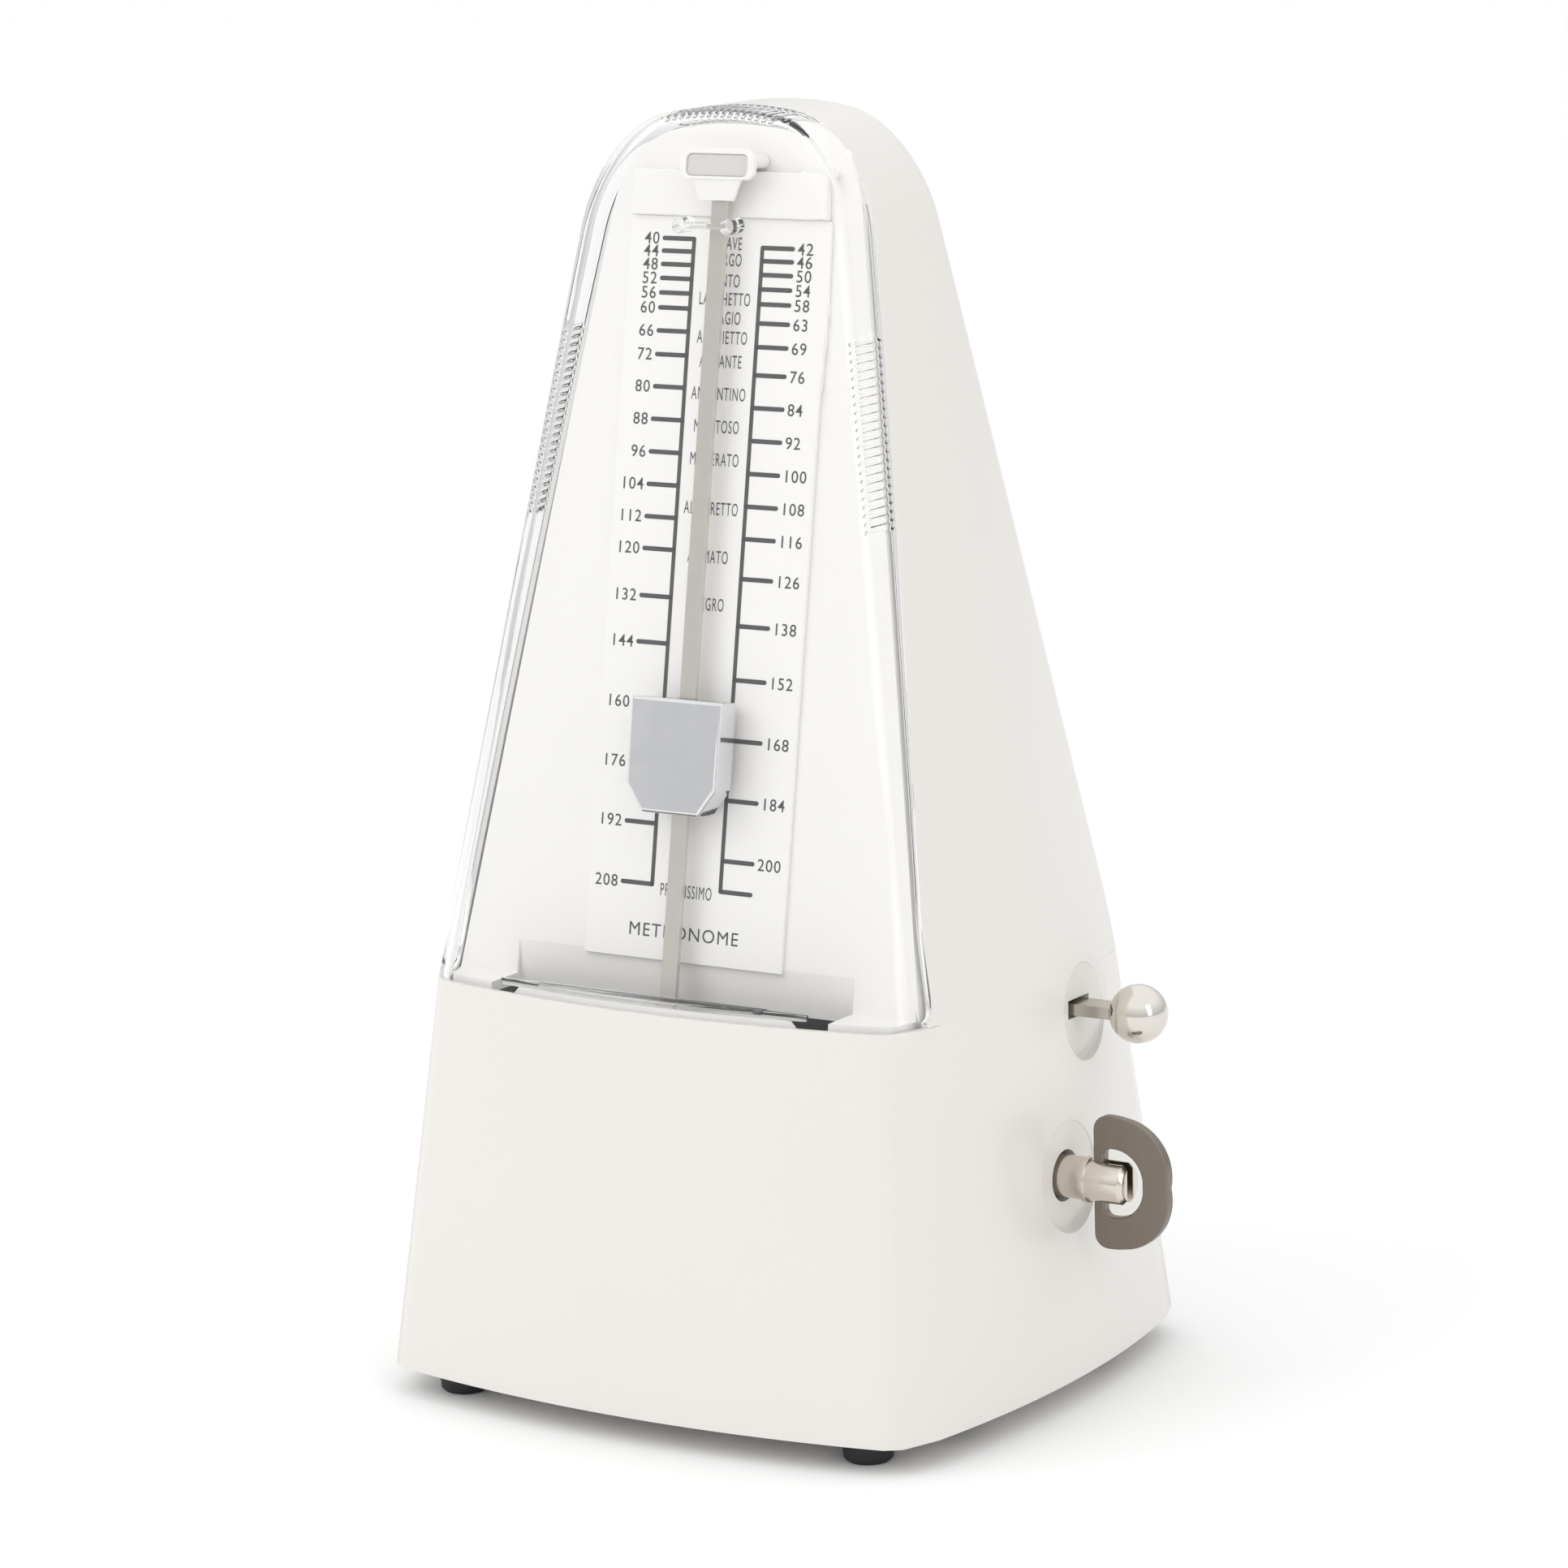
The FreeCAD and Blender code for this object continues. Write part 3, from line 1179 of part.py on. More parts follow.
make_bell()
BELL_TOP = "bell_rim_z + bell_r"
turned("bell_post", "z",
       [("frame_top_z + plate_thick", "0"), (BELL_TOP + " + 1.6", "0"),
        (BELL_TOP + " + 1.6", "bell_post_r * 0.6"), (BELL_TOP + " - bell_wall - 0.2", "bell_post_r * 0.6"),
        (BELL_TOP + " - bell_wall - 0.2", "bell_post_r"), ("frame_top_z + plate_thick", "bell_post_r")],
       ("bell_x", "bell_y", "0"))
turned("bell_nut", "z", rod_profile(BELL_TOP, BELL_TOP + " + 1.4", "bell_post_r * 1.4", "bell_post_r * 0.6"),
       ("bell_x", "bell_y", "0"))
BRACKET_LEFT = "bell_x - 6"
plate("bell_bracket", "XY_Plane",
      [rectangle(BRACKET_LEFT, "bell_y - 5", "right_plate_x + plate_thick", "bell_y + 7")], [],
      "plate_thick", ("0", "0", "frame_top_z"))


def make_detent_spring():
    """An angled leaf on the right plate; its long leg lies over the bar's notches."""
    at = ("right_plate_x + plate_thick", "selector_y - 1.5", "selector_z + selector_thick / 2 + 0.4")
    upright = primitive("Part::Box", "detent_upright", at, Length="0.5", Width="3", Height="8")
    leaf = primitive("Part::Box", "detent_leaf", at, Length="9", Width="3", Height="0.4")
    keep("detent_spring", boolean("Part::Fuse", "detent_spring", upright, leaf))


make_detent_spring()

# ---------------------------------------------------------------- feet and screws

for name, sx, sy in (("foot_front_left", "-", "-"), ("foot_front_right", "", "-"),
                     ("foot_rear_left", "-", ""), ("foot_rear_right", "", "")):
    turned(name, "z", [("0", "0"), ("case_foot_z", "0"), ("case_foot_z", "foot_top_r"),
                       ("0.6", "foot_low_r"), ("0", "foot_low_r - 0.6")],
           (sx + "foot_x", sy + "foot_y", "0"))


def make_screws(name, rows):
    """Screws as separate solids: rows give the seat, the way the tip points and the tip's depth."""
    screws = []
    for i, (seat, tip_axis, tip_angle, head_angle, depth) in enumerate(rows):
        shaft = primitive("Part::Cylinder", "%s_shaft_%d" % (name, i), seat, tip_axis, tip_angle,
                          Radius="screw_r", Height=depth)
        head = primitive("Part::Cylinder", "%s_head_%d" % (name, i), seat, tip_axis, head_angle,
                         Radius="screw_head_r", Height="screw_head_tall")
        screws.append(boolean("Part::Fuse", "%s_%d" % (name, i), head, shaft))
    group = doc.addObject("Part::Compound", name)
    group.Links = screws
    keep(name, group)


make_screws("base_screws", [((sx + "boss_x", sy + "boss_y", "case_foot_z"), X_AXIS, "0", "180", "10")
                            for sx in ("-", "") for sy in ("-", "")])
make_screws("frame_screws",
            [(("right_plate_x", y, "frame_screw_z"), Y_AXIS, "90", "-90", "6")
             for y in ("post_front_y", "post_rear_y")]
            + [(("-right_plate_x", y, "frame_screw_z"), Y_AXIS, "-90", "90", "6")
               for y in ("post_front_y", "post_rear_y")])

# ---------------------------------------------------------------- checks and files

doc.recompute()
for obj in doc.Objects:
    if "Invalid" in obj.State or "Error" in obj.State:
        raise RuntimeError("%s failed: %s" % (obj.Name, obj.State))
for name, obj in PARTS.items():
    if obj.Shape.isNull() or not obj.Shape.isValid() or obj.Shape.Volume <= 0:
        raise RuntimeError(name + " has no sound solid")
os.makedirs("parts", exist_ok=True)
for name, obj in PARTS.items():
    obj.Shape.exportStep(os.path.join("parts", name + ".step"))
    print("%-20s %2d solids %9.1f mm3" % (name, len(obj.Shape.Solids), obj.Shape.Volume))
print(len(PARTS), "nodes")
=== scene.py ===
import json
import math

import bmesh
import bpy
import numpy as np
from mathutils import Matrix, Vector


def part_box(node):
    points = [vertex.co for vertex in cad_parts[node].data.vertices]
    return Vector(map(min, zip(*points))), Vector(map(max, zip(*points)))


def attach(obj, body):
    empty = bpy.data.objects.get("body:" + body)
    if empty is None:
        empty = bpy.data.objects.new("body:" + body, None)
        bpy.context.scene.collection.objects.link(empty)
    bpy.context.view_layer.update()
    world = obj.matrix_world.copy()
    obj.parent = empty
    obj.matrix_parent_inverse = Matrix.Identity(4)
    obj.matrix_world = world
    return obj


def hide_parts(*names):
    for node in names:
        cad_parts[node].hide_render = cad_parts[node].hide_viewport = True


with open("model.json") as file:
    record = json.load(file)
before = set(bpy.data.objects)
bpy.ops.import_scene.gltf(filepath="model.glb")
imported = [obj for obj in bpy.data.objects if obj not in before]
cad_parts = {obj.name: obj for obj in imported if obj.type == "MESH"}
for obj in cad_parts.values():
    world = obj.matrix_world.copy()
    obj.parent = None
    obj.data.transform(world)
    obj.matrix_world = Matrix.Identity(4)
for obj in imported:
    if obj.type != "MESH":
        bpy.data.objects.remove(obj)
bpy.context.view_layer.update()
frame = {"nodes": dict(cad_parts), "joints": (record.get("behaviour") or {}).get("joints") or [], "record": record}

MM = 0.001
NODES = frame["nodes"]
RECORD = frame["record"]

# ---------------------------------------------------------------- what the frame says

CASE_LOW, CASE_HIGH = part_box("case_shell")
COVER_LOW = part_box("front_cover")[0]
CENTRE_X = (CASE_LOW.x + CASE_HIGH.x) / 2
FOOT_Z = CASE_LOW.z
CROWN_Z = CASE_HIGH.z
SEAM_GAP = 0.15 * MM
SHOULDER_Z = COVER_LOW.z - SEAM_GAP
SLOPE_AXIS = Vector(next(j["axis"] for j in frame["joints"] if j["name"] == "weight_slide"))
DIAL_NORMAL = Vector((0, -SLOPE_AXIS.z, SLOPE_AXIS.y))
DIAL_THICK = 0.8 * MM
DIAL_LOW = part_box("dial_plate")[0]
DIAL_FOOT = Vector((CENTRE_X, DIAL_LOW.y, DIAL_LOW.z + DIAL_THICK * SLOPE_AXIS.y))

# the case's form: half sizes of its corners and the bow of its faces at three heights
LEVEL_Z = (FOOT_Z, SHOULDER_Z, CROWN_Z)
HALF_W = (51.1 * MM, 46.0 * MM, 22.7 * MM)
HALF_D = (46.5 * MM, 37.2 * MM, 13.9 * MM)
BOW = (5.85 * MM, 5.3 * MM, 0.0)
CORNER_R = 4.0 * MM
DOME_R = 58.0 * MM
CROWN_SHOULDER_R = 12.0 * MM
WALL = 2.2 * MM
COVER_WALL = 1.8 * MM
CASE_EDGE, COVER_EDGE = 0.45 * MM, 0.35 * MM
SEAM_LOW_Y = -30.65 * MM
SEAM_TOP_Y = -3.1 * MM
SEAM_R = 7.0 * MM
SEAM_SLOPE = (SEAM_TOP_Y - SEAM_LOW_Y) / (CROWN_Z - SHOULDER_Z)

# ---------------------------------------------------------------- mesh helpers


def link(obj, body, material):
    """Puts a piece in the scene: on its body and its material."""
    bpy.context.scene.collection.objects.link(obj)
    obj.data.materials.clear()
    obj.data.materials.append(material)
    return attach(obj, body)


def mesh_object(name, verts, faces):
    """A new object from plain vertices and faces."""
    mesh = bpy.data.meshes.new(name)
    mesh.from_pydata([tuple(v) for v in verts], [], faces)
    mesh.validate()
    return bpy.data.objects.new(name, mesh)


def weld(obj, distance=0.002 * MM):
    """Joins vertices that coincide and turns all faces outward."""
    work = bmesh.new()
    work.from_mesh(obj.data)
    bmesh.ops.remove_doubles(work, verts=work.verts, dist=distance)
    bmesh.ops.recalc_face_normals(work, faces=work.faces)
    work.to_mesh(obj.data)
    work.free()
    return obj


def smooth(obj, angle=35.0):
    """Shades a piece smooth, but for edges sharper than an angle in degrees."""
    for face in obj.data.polygons:
        face.use_smooth = True
    obj.data.set_sharp_from_angle(angle=math.radians(angle))
    return obj


def baked(obj, name):
    """A copy of obj with its modifiers applied; obj goes away."""
    bpy.context.scene.collection.objects.link(obj)
    graph = bpy.context.evaluated_depsgraph_get()
    mesh = bpy.data.meshes.new_from_object(obj.evaluated_get(graph))
    bpy.data.objects.remove(obj)
    mesh.name = name
    return bpy.data.objects.new(name, mesh)


def thicken(obj, thickness):
    """Gives a skin that lies on the form its inner face, along the form's own normals, and its rims."""
    work = bmesh.new()
    work.from_mesh(obj.data)
    work.verts.ensure_lookup_table()
    points = np.array([v.co for v in work.verts]) - (CENTRE_X, 0, 0)
    normals = form_normals(points)
    inner = [work.verts.new(v.co - Vector(n) * thickness) for v, n in zip(list(work.verts), normals)]
    rims = [edge.link_loops[0] for edge in work.edges if edge.is_boundary]
    walls = [(loop.link_loop_next.vert, loop.vert) for loop in rims]
    for face in list(work.faces):
        work.faces.new([inner[v.index] for v in reversed(face.verts)])
    for start, end in walls:
        work.faces.new((start, end, inner[end.index], inner[start.index]))
    bmesh.ops.recalc_face_normals(work, faces=work.faces)
    work.to_mesh(obj.data)
    work.free()


def bevel(obj, width, segments=3, angle=50.0):
    """Adds a modifier that rounds the edges sharper than an angle in degrees."""
    mod = obj.modifiers.new("edge", "BEVEL")
    mod.width = width
    mod.segments = segments
    mod.limit_method = "ANGLE"
    mod.angle_limit = math.radians(angle)
    mod.use_clamp_overlap = True
    mod.harden_normals = False


def cut(obj, tool, operation="DIFFERENCE"):
    """Cuts obj with a closed tool mesh, which goes away."""
    bpy.context.scene.collection.objects.link(tool)
    mod = obj.modifiers.new("cut", "BOOLEAN")
    mod.object = tool
    mod.operation = operation
    mod.solver = "MANIFOLD"
    done = baked(obj, obj.name)
    bpy.data.objects.remove(tool)
    return done


def lathe(name, profile, origin, axis, steps=64):
    """A turned solid: profile holds (along, radius) pairs and starts and ends on the axis."""
    along = Vector(axis).normalized()
    side = along.orthogonal().normalized()
    up = along.cross(side)
    verts, faces = [], []
    for where, radius in profile:
        for k in range(steps):
            turn = 2 * math.pi * k / steps
            spoke = side * math.cos(turn) + up * math.sin(turn)
            verts.append(Vector(origin) + along * where + spoke * radius)
    for i in range(len(profile) - 1):
        for k in range(steps):
            nxt = (k + 1) % steps
            faces.append((i * steps + k, i * steps + nxt, (i + 1) * steps + nxt, (i + 1) * steps + k))
    return weld(mesh_object(name, verts, faces))


def block(name, low, high):
    """A closed box between two corners."""
    corners = [(x, y, z) for x in (low[0], high[0]) for y in (low[1], high[1]) for z in (low[2], high[2])]
    faces = [(0, 1, 3, 2), (4, 6, 7, 5), (0, 4, 5, 1), (2, 3, 7, 6), (0, 2, 6, 4), (1, 5, 7, 3)]
    return weld(mesh_object(name, corners, faces))


def prism(name, low_ring, high_ring):
    """A closed solid between two outlines that have the same number of points."""
    count = len(low_ring)
    faces = [tuple(range(count))[::-1], tuple(range(count, 2 * count))]
    faces += [(k, (k + 1) % count, count + (k + 1) % count, count + k) for k in range(count)]
    return weld(mesh_object(name, low_ring + high_ring, faces))


# ---------------------------------------------------------------- the pyramid form


def rounded(a, b, radius):
    """Joins two distance fields as an outside corner of that radius."""
    a, b = a + radius, b + radius
    outside = np.hypot(np.maximum(a, 0), np.maximum(b, 0))
    return outside + np.minimum(np.maximum(a, b), 0) - radius


def form_field(p):
    """About the distance outside the case's form, for points p counted from the case's axis."""
    x, y, z = np.abs(p[:, 0]), np.abs(p[:, 1]), p[:, 2]
    half_w = np.interp(z, LEVEL_Z, HALF_W)
    half_d = np.interp(z, LEVEL_Z, HALF_D)
    bow = np.interp(z, LEVEL_Z, BOW)
    side = x - half_w - bow * (1 - np.clip(y / half_d, 0, 1) ** 2)
    front = y - half_d - bow * (1 - np.clip(x / half_w, 0, 1) ** 2)
    dome_z = CROWN_Z - DOME_R
    dome = np.where(z > dome_z, np.hypot(x, z - dome_z) - DOME_R, -DOME_R)
    return rounded(rounded(side, dome, CROWN_SHOULDER_R), front, CORNER_R)


SLOPE_STEP = 0.005 * MM


def form_normals(points):
    """Unit outward normals of the form's surface at points counted from the case's axis."""
    slopes = []
    for axis in np.eye(3) * SLOPE_STEP:
        slopes.append(form_field(points + axis) - form_field(points - axis))
    normals = np.array(slopes).T
    return normals / np.maximum(np.linalg.norm(normals, axis=1), 1e-12)[:, None]


REACH, LONG_REACH = 60 * MM, 80 * MM


def to_surface(base, direction, reach=REACH, steps=34):
    """Where rays from inside the form leave it."""
    near = np.zeros(len(base))
    far = np.full(len(base), reach)
    for _ in range(steps):
        middle = (near + far) / 2
        inside = form_field(base + direction * middle[:, None]) < 0
        near = np.where(inside, middle, near)
        far = np.where(inside, far, middle)
    return base + direction * ((near + far) / 2)[:, None]


ARCH_TURN_Z = CROWN_Z - 24 * MM
ROWS_FROM_Z = SHOULDER_Z + 9 * MM
ROW_PITCH = 3 * MM
LOWER_ROWS = 30
CASE_STEPS = (60, 41)    # columns along a side with its corner, and across the back
CASE_FRONT_STEPS = (12, 41)
COVER_STEPS = (46, 41)
CORNER_CROWDING = 3.0    # columns stand this much closer round a corner than along a side
STEEPEST = 0.98          # sine of the farthest turn round a corner where a row may start


def top_inner_z():
    """Height of the corner's centre line where the crown's rows start to fan out."""
    point, normal = arch_row(lift=0.0)
    return point[2] - normal[2] * CORNER_R


def arch_row(z=None, lift=None):
    """One right-hand point of the arch outline and its outward normal, at height z or on a lifted ray."""
    if z is None:
        direction = np.array([[math.cos(lift), 0, math.sin(lift)]])
        point = to_surface(np.array([[0, 0, ARCH_TURN_Z]]), direction)[0]
    else:
        point = to_surface(np.array([[0, 0, z]]), np.array([[1.0, 0, 0]]), LONG_REACH)[0]
    normal = form_normals(np.array([point]))[0] * (1, 0, 1)
    if lift is not None and lift > math.pi / 2 - 1e-6:
        point[0] = 0.0
        normal = np.array([0, 0, 1.0])
    return point, normal / np.linalg.norm(normal)


FAN_Z = top_inner_z()


def corner_line(point, normal, sign):
    """The corner's centre line beside an arch point: its place, and its distance from the middle plane."""
    inner = point - normal * CORNER_R
    face = to_surface(np.array([inner]), np.array([[0, float(sign), 0]]))[0]
    return inner, abs(face[1]) - CORNER_R


def half_row(point, normal, start_y, sign, side_steps, face_steps):
    """One row from the seam at start_y, round the corner and across the front (-1) or back (1)."""
    inner, corner_y = corner_line(point, normal, sign)
    way = np.array([0, float(sign), 0])
    start = sign * start_y
    behind = math.asin(min(max(-start - corner_y, 0) / CORNER_R, STEEPEST))
    ahead = math.asin(min(max(start - corner_y, 0) / CORNER_R, STEEPEST))
    strip_start = max(start, -corner_y)
    strip = max(corner_y - strip_start, 0)
    turn_length = CORNER_CROWDING * CORNER_R
    total = behind * turn_length + strip + (math.pi / 2 - ahead) * turn_length
    bases, rays = [], []
    for k in range(side_steps):
        left = total * k / side_steps - behind * turn_length
        if left < 0:
            turn = -left / turn_length
            bases.append((inner[0], -sign * corner_y, inner[2]))
            rays.append(normal * math.cos(turn) - way * math.sin(turn))
        elif left < strip:
            bases.append((inner[0], sign * (strip_start + left), inner[2]))
            rays.append(normal)
        else:
            turn = ahead + (left - strip) / turn_length
            bases.append((inner[0], sign * corner_y, inner[2]))
            rays.append(normal * math.cos(turn) + way * math.sin(turn))
    fan_z = min(inner[2], FAN_Z)
    for share in np.linspace(1, -1, face_steps):
        bases.append((inner[0] * share, sign * corner_y * 0.5, fan_z + abs(share) * (inner[2] - fan_z)))
        rays.append(way)
    points = to_surface(np.array(bases), np.array(rays))
    points[:, 0] += CENTRE_X
    mirror = points[:side_steps][::-1] * (-1, 1, 1) + (2 * CENTRE_X, 0, 0)
    return np.vstack([points, mirror])


def seam_y(z, gap):
    """Where the leaning seam, with its rounded lower corner, lies at one height."""
    low = SHOULDER_Z + gap
    lean = math.atan(SEAM_SLOPE)
    centre_z = low + SEAM_R
    line = SEAM_LOW_Y + SEAM_SLOPE * (centre_z - SHOULDER_Z) - gap
    centre_y = line - SEAM_R / math.cos(lean)
    if z < centre_z + SEAM_R * math.sin(lean):
        return centre_y + math.sqrt(max(SEAM_R ** 2 - (centre_z - z) ** 2, 0.0))
    return SEAM_LOW_Y + SEAM_SLOPE * (z - SHOULDER_Z) - gap


def upper_rows(gap, straight_z):
    """Arch rows from the shoulder to the crest: the seam's round corner, the straight side, the crown."""
    low = SHOULDER_Z + gap
    rows = [arch_row(z=low + SEAM_R * (1 - math.cos(turn))) for turn in np.radians(np.arange(0, 81, 8))]
    rows += [arch_row(z=z) for z in straight_z]
    crown = np.append(np.arange(2, 60, 1.5), np.linspace(60, 90, 61))
    rows += [arch_row(lift=lift) for lift in np.radians(crown)]
    return rows


def grid_faces(rows, columns, wrap=False, start=0):
    """Four-sided faces between rows of vertices; wrap closes each row into a ring."""
    faces = []
    last = columns if wrap else columns - 1
    for i in range(rows - 1):
        for k in range(last):
            a = start + i * columns + k
            b = start + i * columns + (k + 1) % columns
            faces.append((a, b, b + columns, a + columns))
    return faces


def make_case():
    """The white shell: closed rings up to the shoulder, open arches behind the seam above it."""
    above = upper_rows(0.0, np.arange(ROWS_FROM_Z, ARCH_TURN_Z, ROW_PITCH))
    back = [half_row(p, n, seam_y(p[2], 0.0), 1, *CASE_STEPS) for p, n in above]
    _, shoulder_corner = corner_line(*arch_row(z=SHOULDER_Z), 1)
    past_corner = -seam_y(SHOULDER_Z, 0.0) - shoulder_corner
    rings = []
    for z in np.linspace(FOOT_Z, SHOULDER_Z, LOWER_ROWS):
        p, n = arch_row(z=z)
        start_y = -(corner_line(p, n, 1)[1] + past_corner)
        rear = half_row(p, n, start_y, 1, *CASE_STEPS)
        front = half_row(p, n, start_y, -1, *CASE_FRONT_STEPS)
        rings.append(np.vstack([rear, front[::-1][1:-1]]))
    rings[-1][:len(back[0])] = back[0]
    verts = np.vstack(rings + back)
    faces = grid_faces(len(rings), len(rings[0]), wrap=True)
    faces += grid_faces(len(back), len(back[0]), start=len(rings) * len(rings[0]))
    shell = weld(mesh_object("case_shell_skin", verts, faces))
    thicken(shell, WALL)
    bevel(shell, CASE_EDGE, 4, 60.0)
    return baked(shell, "case_shell_skin")


RIB_LOW_Z, RIB_HIGH_Z = 149 * MM, 180 * MM
RIB_PITCH, RIB_TALL = 1.35 * MM, 0.28 * MM
RIB_START, RIB_END, RIB_FADE = 0.08, 0.80, 0.08    # shares of the way from the seam to the front
ROWS_A_RIB = 6
TOP_RIB_HALF_W = 10.8 * MM


def ribbed(points, start_y, end_y, way, phase):
    """Sinks one row of the cover's side into a rib's hollow, between the seam and the front."""
    share = np.abs(points[:, 1] - start_y) / abs(end_y - start_y)
    window = np.clip((share - RIB_START) / RIB_FADE, 0, 1) * np.clip((RIB_END - share) / RIB_FADE, 0, 1)
    wave = 0.5 - 0.5 * math.cos(2 * math.pi * phase)
    points -= np.outer(window * wave * RIB_TALL, way)


def make_cover():
    """The clear shell in front of the seam, with ribbed finger grips on both sides and on top."""
    plain = np.arange(ROWS_FROM_Z, RIB_LOW_Z, ROW_PITCH)
    fine = np.arange(RIB_LOW_Z, RIB_HIGH_Z, RIB_PITCH / ROWS_A_RIB)
    above = np.arange(RIB_HIGH_Z + 1 * MM, ARCH_TURN_Z, ROW_PITCH)
    side = COVER_STEPS[0]
    grid = []
    for p, n in upper_rows(SEAM_GAP, np.concatenate([plain, fine, above])):
        row = half_row(p, n, seam_y(p[2], SEAM_GAP), -1, *COVER_STEPS)
        start_y, end_y = row[0][1], row[side][1]
        if RIB_LOW_Z <= p[2] <= RIB_HIGH_Z:
            phase = (p[2] - RIB_LOW_Z) / RIB_PITCH
            ribbed(row[:side], start_y, end_y, (n[0], 0, n[2]), phase)
            ribbed(row[-side:], start_y, end_y, (-n[0], 0, n[2]), phase)
        elif p[0] < TOP_RIB_HALF_W and p[2] > RIB_HIGH_Z:
            ribbed(row[:side], start_y, end_y, (0, 0, 1), p[0] / RIB_PITCH)
            ribbed(row[-side:], start_y, end_y, (0, 0, 1), p[0] / RIB_PITCH)
        grid.append(row)
    shell = weld(mesh_object("clear_cover", np.vstack(grid), grid_faces(len(grid), len(grid[0]))))
    thicken(shell, COVER_WALL)
    bevel(shell, COVER_EDGE, 3, 60.0)
    return baked(shell, "clear_cover")


# ---------------------------------------------------------------- materials


def new_material(name):
    """A material with its node tree and its main shader."""
    material = bpy.data.materials.new(name)
    material.use_nodes = True
    tree = material.node_tree
    shader = tree.nodes["Principled BSDF"]
    return material, tree, shader


def noise(tree, scale, detail=3.0, stretch=None):
    """A noise texture in the piece's own coordinates."""
    coords = tree.nodes.new("ShaderNodeTexCoord")
    texture = tree.nodes.new("ShaderNodeTexNoise")
    texture.inputs["Scale"].default_value = scale
    texture.inputs["Detail"].default_value = detail
    if stretch is None:
        tree.links.new(coords.outputs["Object"], texture.inputs["Vector"])
    else:
        mapping = tree.nodes.new("ShaderNodeMapping")
        mapping.inputs["Scale"].default_value = stretch
        tree.links.new(coords.outputs["Object"], mapping.inputs["Vector"])
        tree.links.new(mapping.outputs["Vector"], texture.inputs["Vector"])
    return texture.outputs["Fac"]


def spread(tree, source, low, high):
    """A 0..1 texture brought to a range."""
    ramp = tree.nodes.new("ShaderNodeMapRange")
    ramp.inputs["From Min"].default_value = 0.3
    ramp.inputs["From Max"].default_value = 0.7
    ramp.inputs["To Min"].default_value = low
    ramp.inputs["To Max"].default_value = high
    tree.links.new(source, ramp.inputs["Value"])
    return ramp.outputs["Result"]


def tint(tree, source, dark, light):
    """A colour that goes from dark to light with a 0..1 texture."""
    mix = tree.nodes.new("ShaderNodeMix")
    mix.data_type = "RGBA"
    mix.inputs["A"].default_value = (*dark, 1)
    mix.inputs["B"].default_value = (*light, 1)
    tree.links.new(source, mix.inputs["Factor"])
    return mix.outputs["Result"]


def bump(tree, shader, source, strength, distance):
    """A fine relief in the surface's shading."""
    node = tree.nodes.new("ShaderNodeBump")
    node.inputs["Strength"].default_value = strength
    node.inputs["Distance"].default_value = distance
    tree.links.new(source, node.inputs["Height"])
    tree.links.new(node.outputs["Normal"], shader.inputs["Normal"])


def plastic(name, dark, light, rough_low, rough_high, coat=0.0, grain=2500.0):
    """Moulded plastic: a little uneven in colour and gloss, with a very fine grain."""
    material, tree, shader = new_material(name)
    tree.links.new(tint(tree, noise(tree, 18.0, 1.0), dark, light), shader.inputs["Base Color"])
    tree.links.new(spread(tree, noise(tree, 35.0, 1.0), rough_low, rough_high), shader.inputs["Roughness"])
    shader.inputs["Coat Weight"].default_value = coat
    shader.inputs["Coat Roughness"].default_value = 0.12
    bump(tree, shader, noise(tree, grain, 1.0), 0.04, 0.01 * MM)
    return material


def clear_plastic(name):
    """Clear moulding: refracts what is seen through it, and lets soft light straight in."""
    material, tree, shader = new_material(name)
    shader.inputs["Base Color"].default_value = (0.985, 0.99, 0.99, 1)
    shader.inputs["IOR"].default_value = 1.49
    shader.inputs["Transmission Weight"].default_value = 1.0
    tree.links.new(spread(tree, noise(tree, 90.0, 1.0), 0.0, 0.02), shader.inputs["Roughness"])
    bump(tree, shader, noise(tree, 25.0, 1.0), 0.02, 0.05 * MM)
    path = tree.nodes.new("ShaderNodeLightPath")
    soft = tree.nodes.new("ShaderNodeMath")
    soft.operation = "MAXIMUM"
    tree.links.new(path.outputs["Is Shadow Ray"], soft.inputs[0])
    tree.links.new(path.outputs["Is Diffuse Ray"], soft.inputs[1])
    straight = tree.nodes.new("ShaderNodeBsdfTransparent")
    straight.inputs["Color"].default_value = (0.97, 0.97, 0.97, 1)
    mix = tree.nodes.new("ShaderNodeMixShader")
    tree.links.new(soft.outputs["Value"], mix.inputs["Fac"])
    tree.links.new(shader.outputs["BSDF"], mix.inputs[1])
    tree.links.new(straight.outputs["BSDF"], mix.inputs[2])
    tree.links.new(mix.outputs["Shader"], tree.nodes["Material Output"].inputs["Surface"])
    return material


def metal(name, dark, light, rough_low, rough_high, scale=400.0, stretch=None, strength=0.08):
    """Bare or plated metal; stretch draws its grain out along an axis."""
    material, tree, shader = new_material(name)
    shader.inputs["Metallic"].default_value = 1.0
    pattern = noise(tree, scale, 5.0, stretch)
    tree.links.new(tint(tree, pattern, dark, light), shader.inputs["Base Color"])
    tree.links.new(spread(tree, pattern, rough_low, rough_high), shader.inputs["Roughness"])
    bump(tree, shader, pattern, strength, 0.01 * MM)
    return material


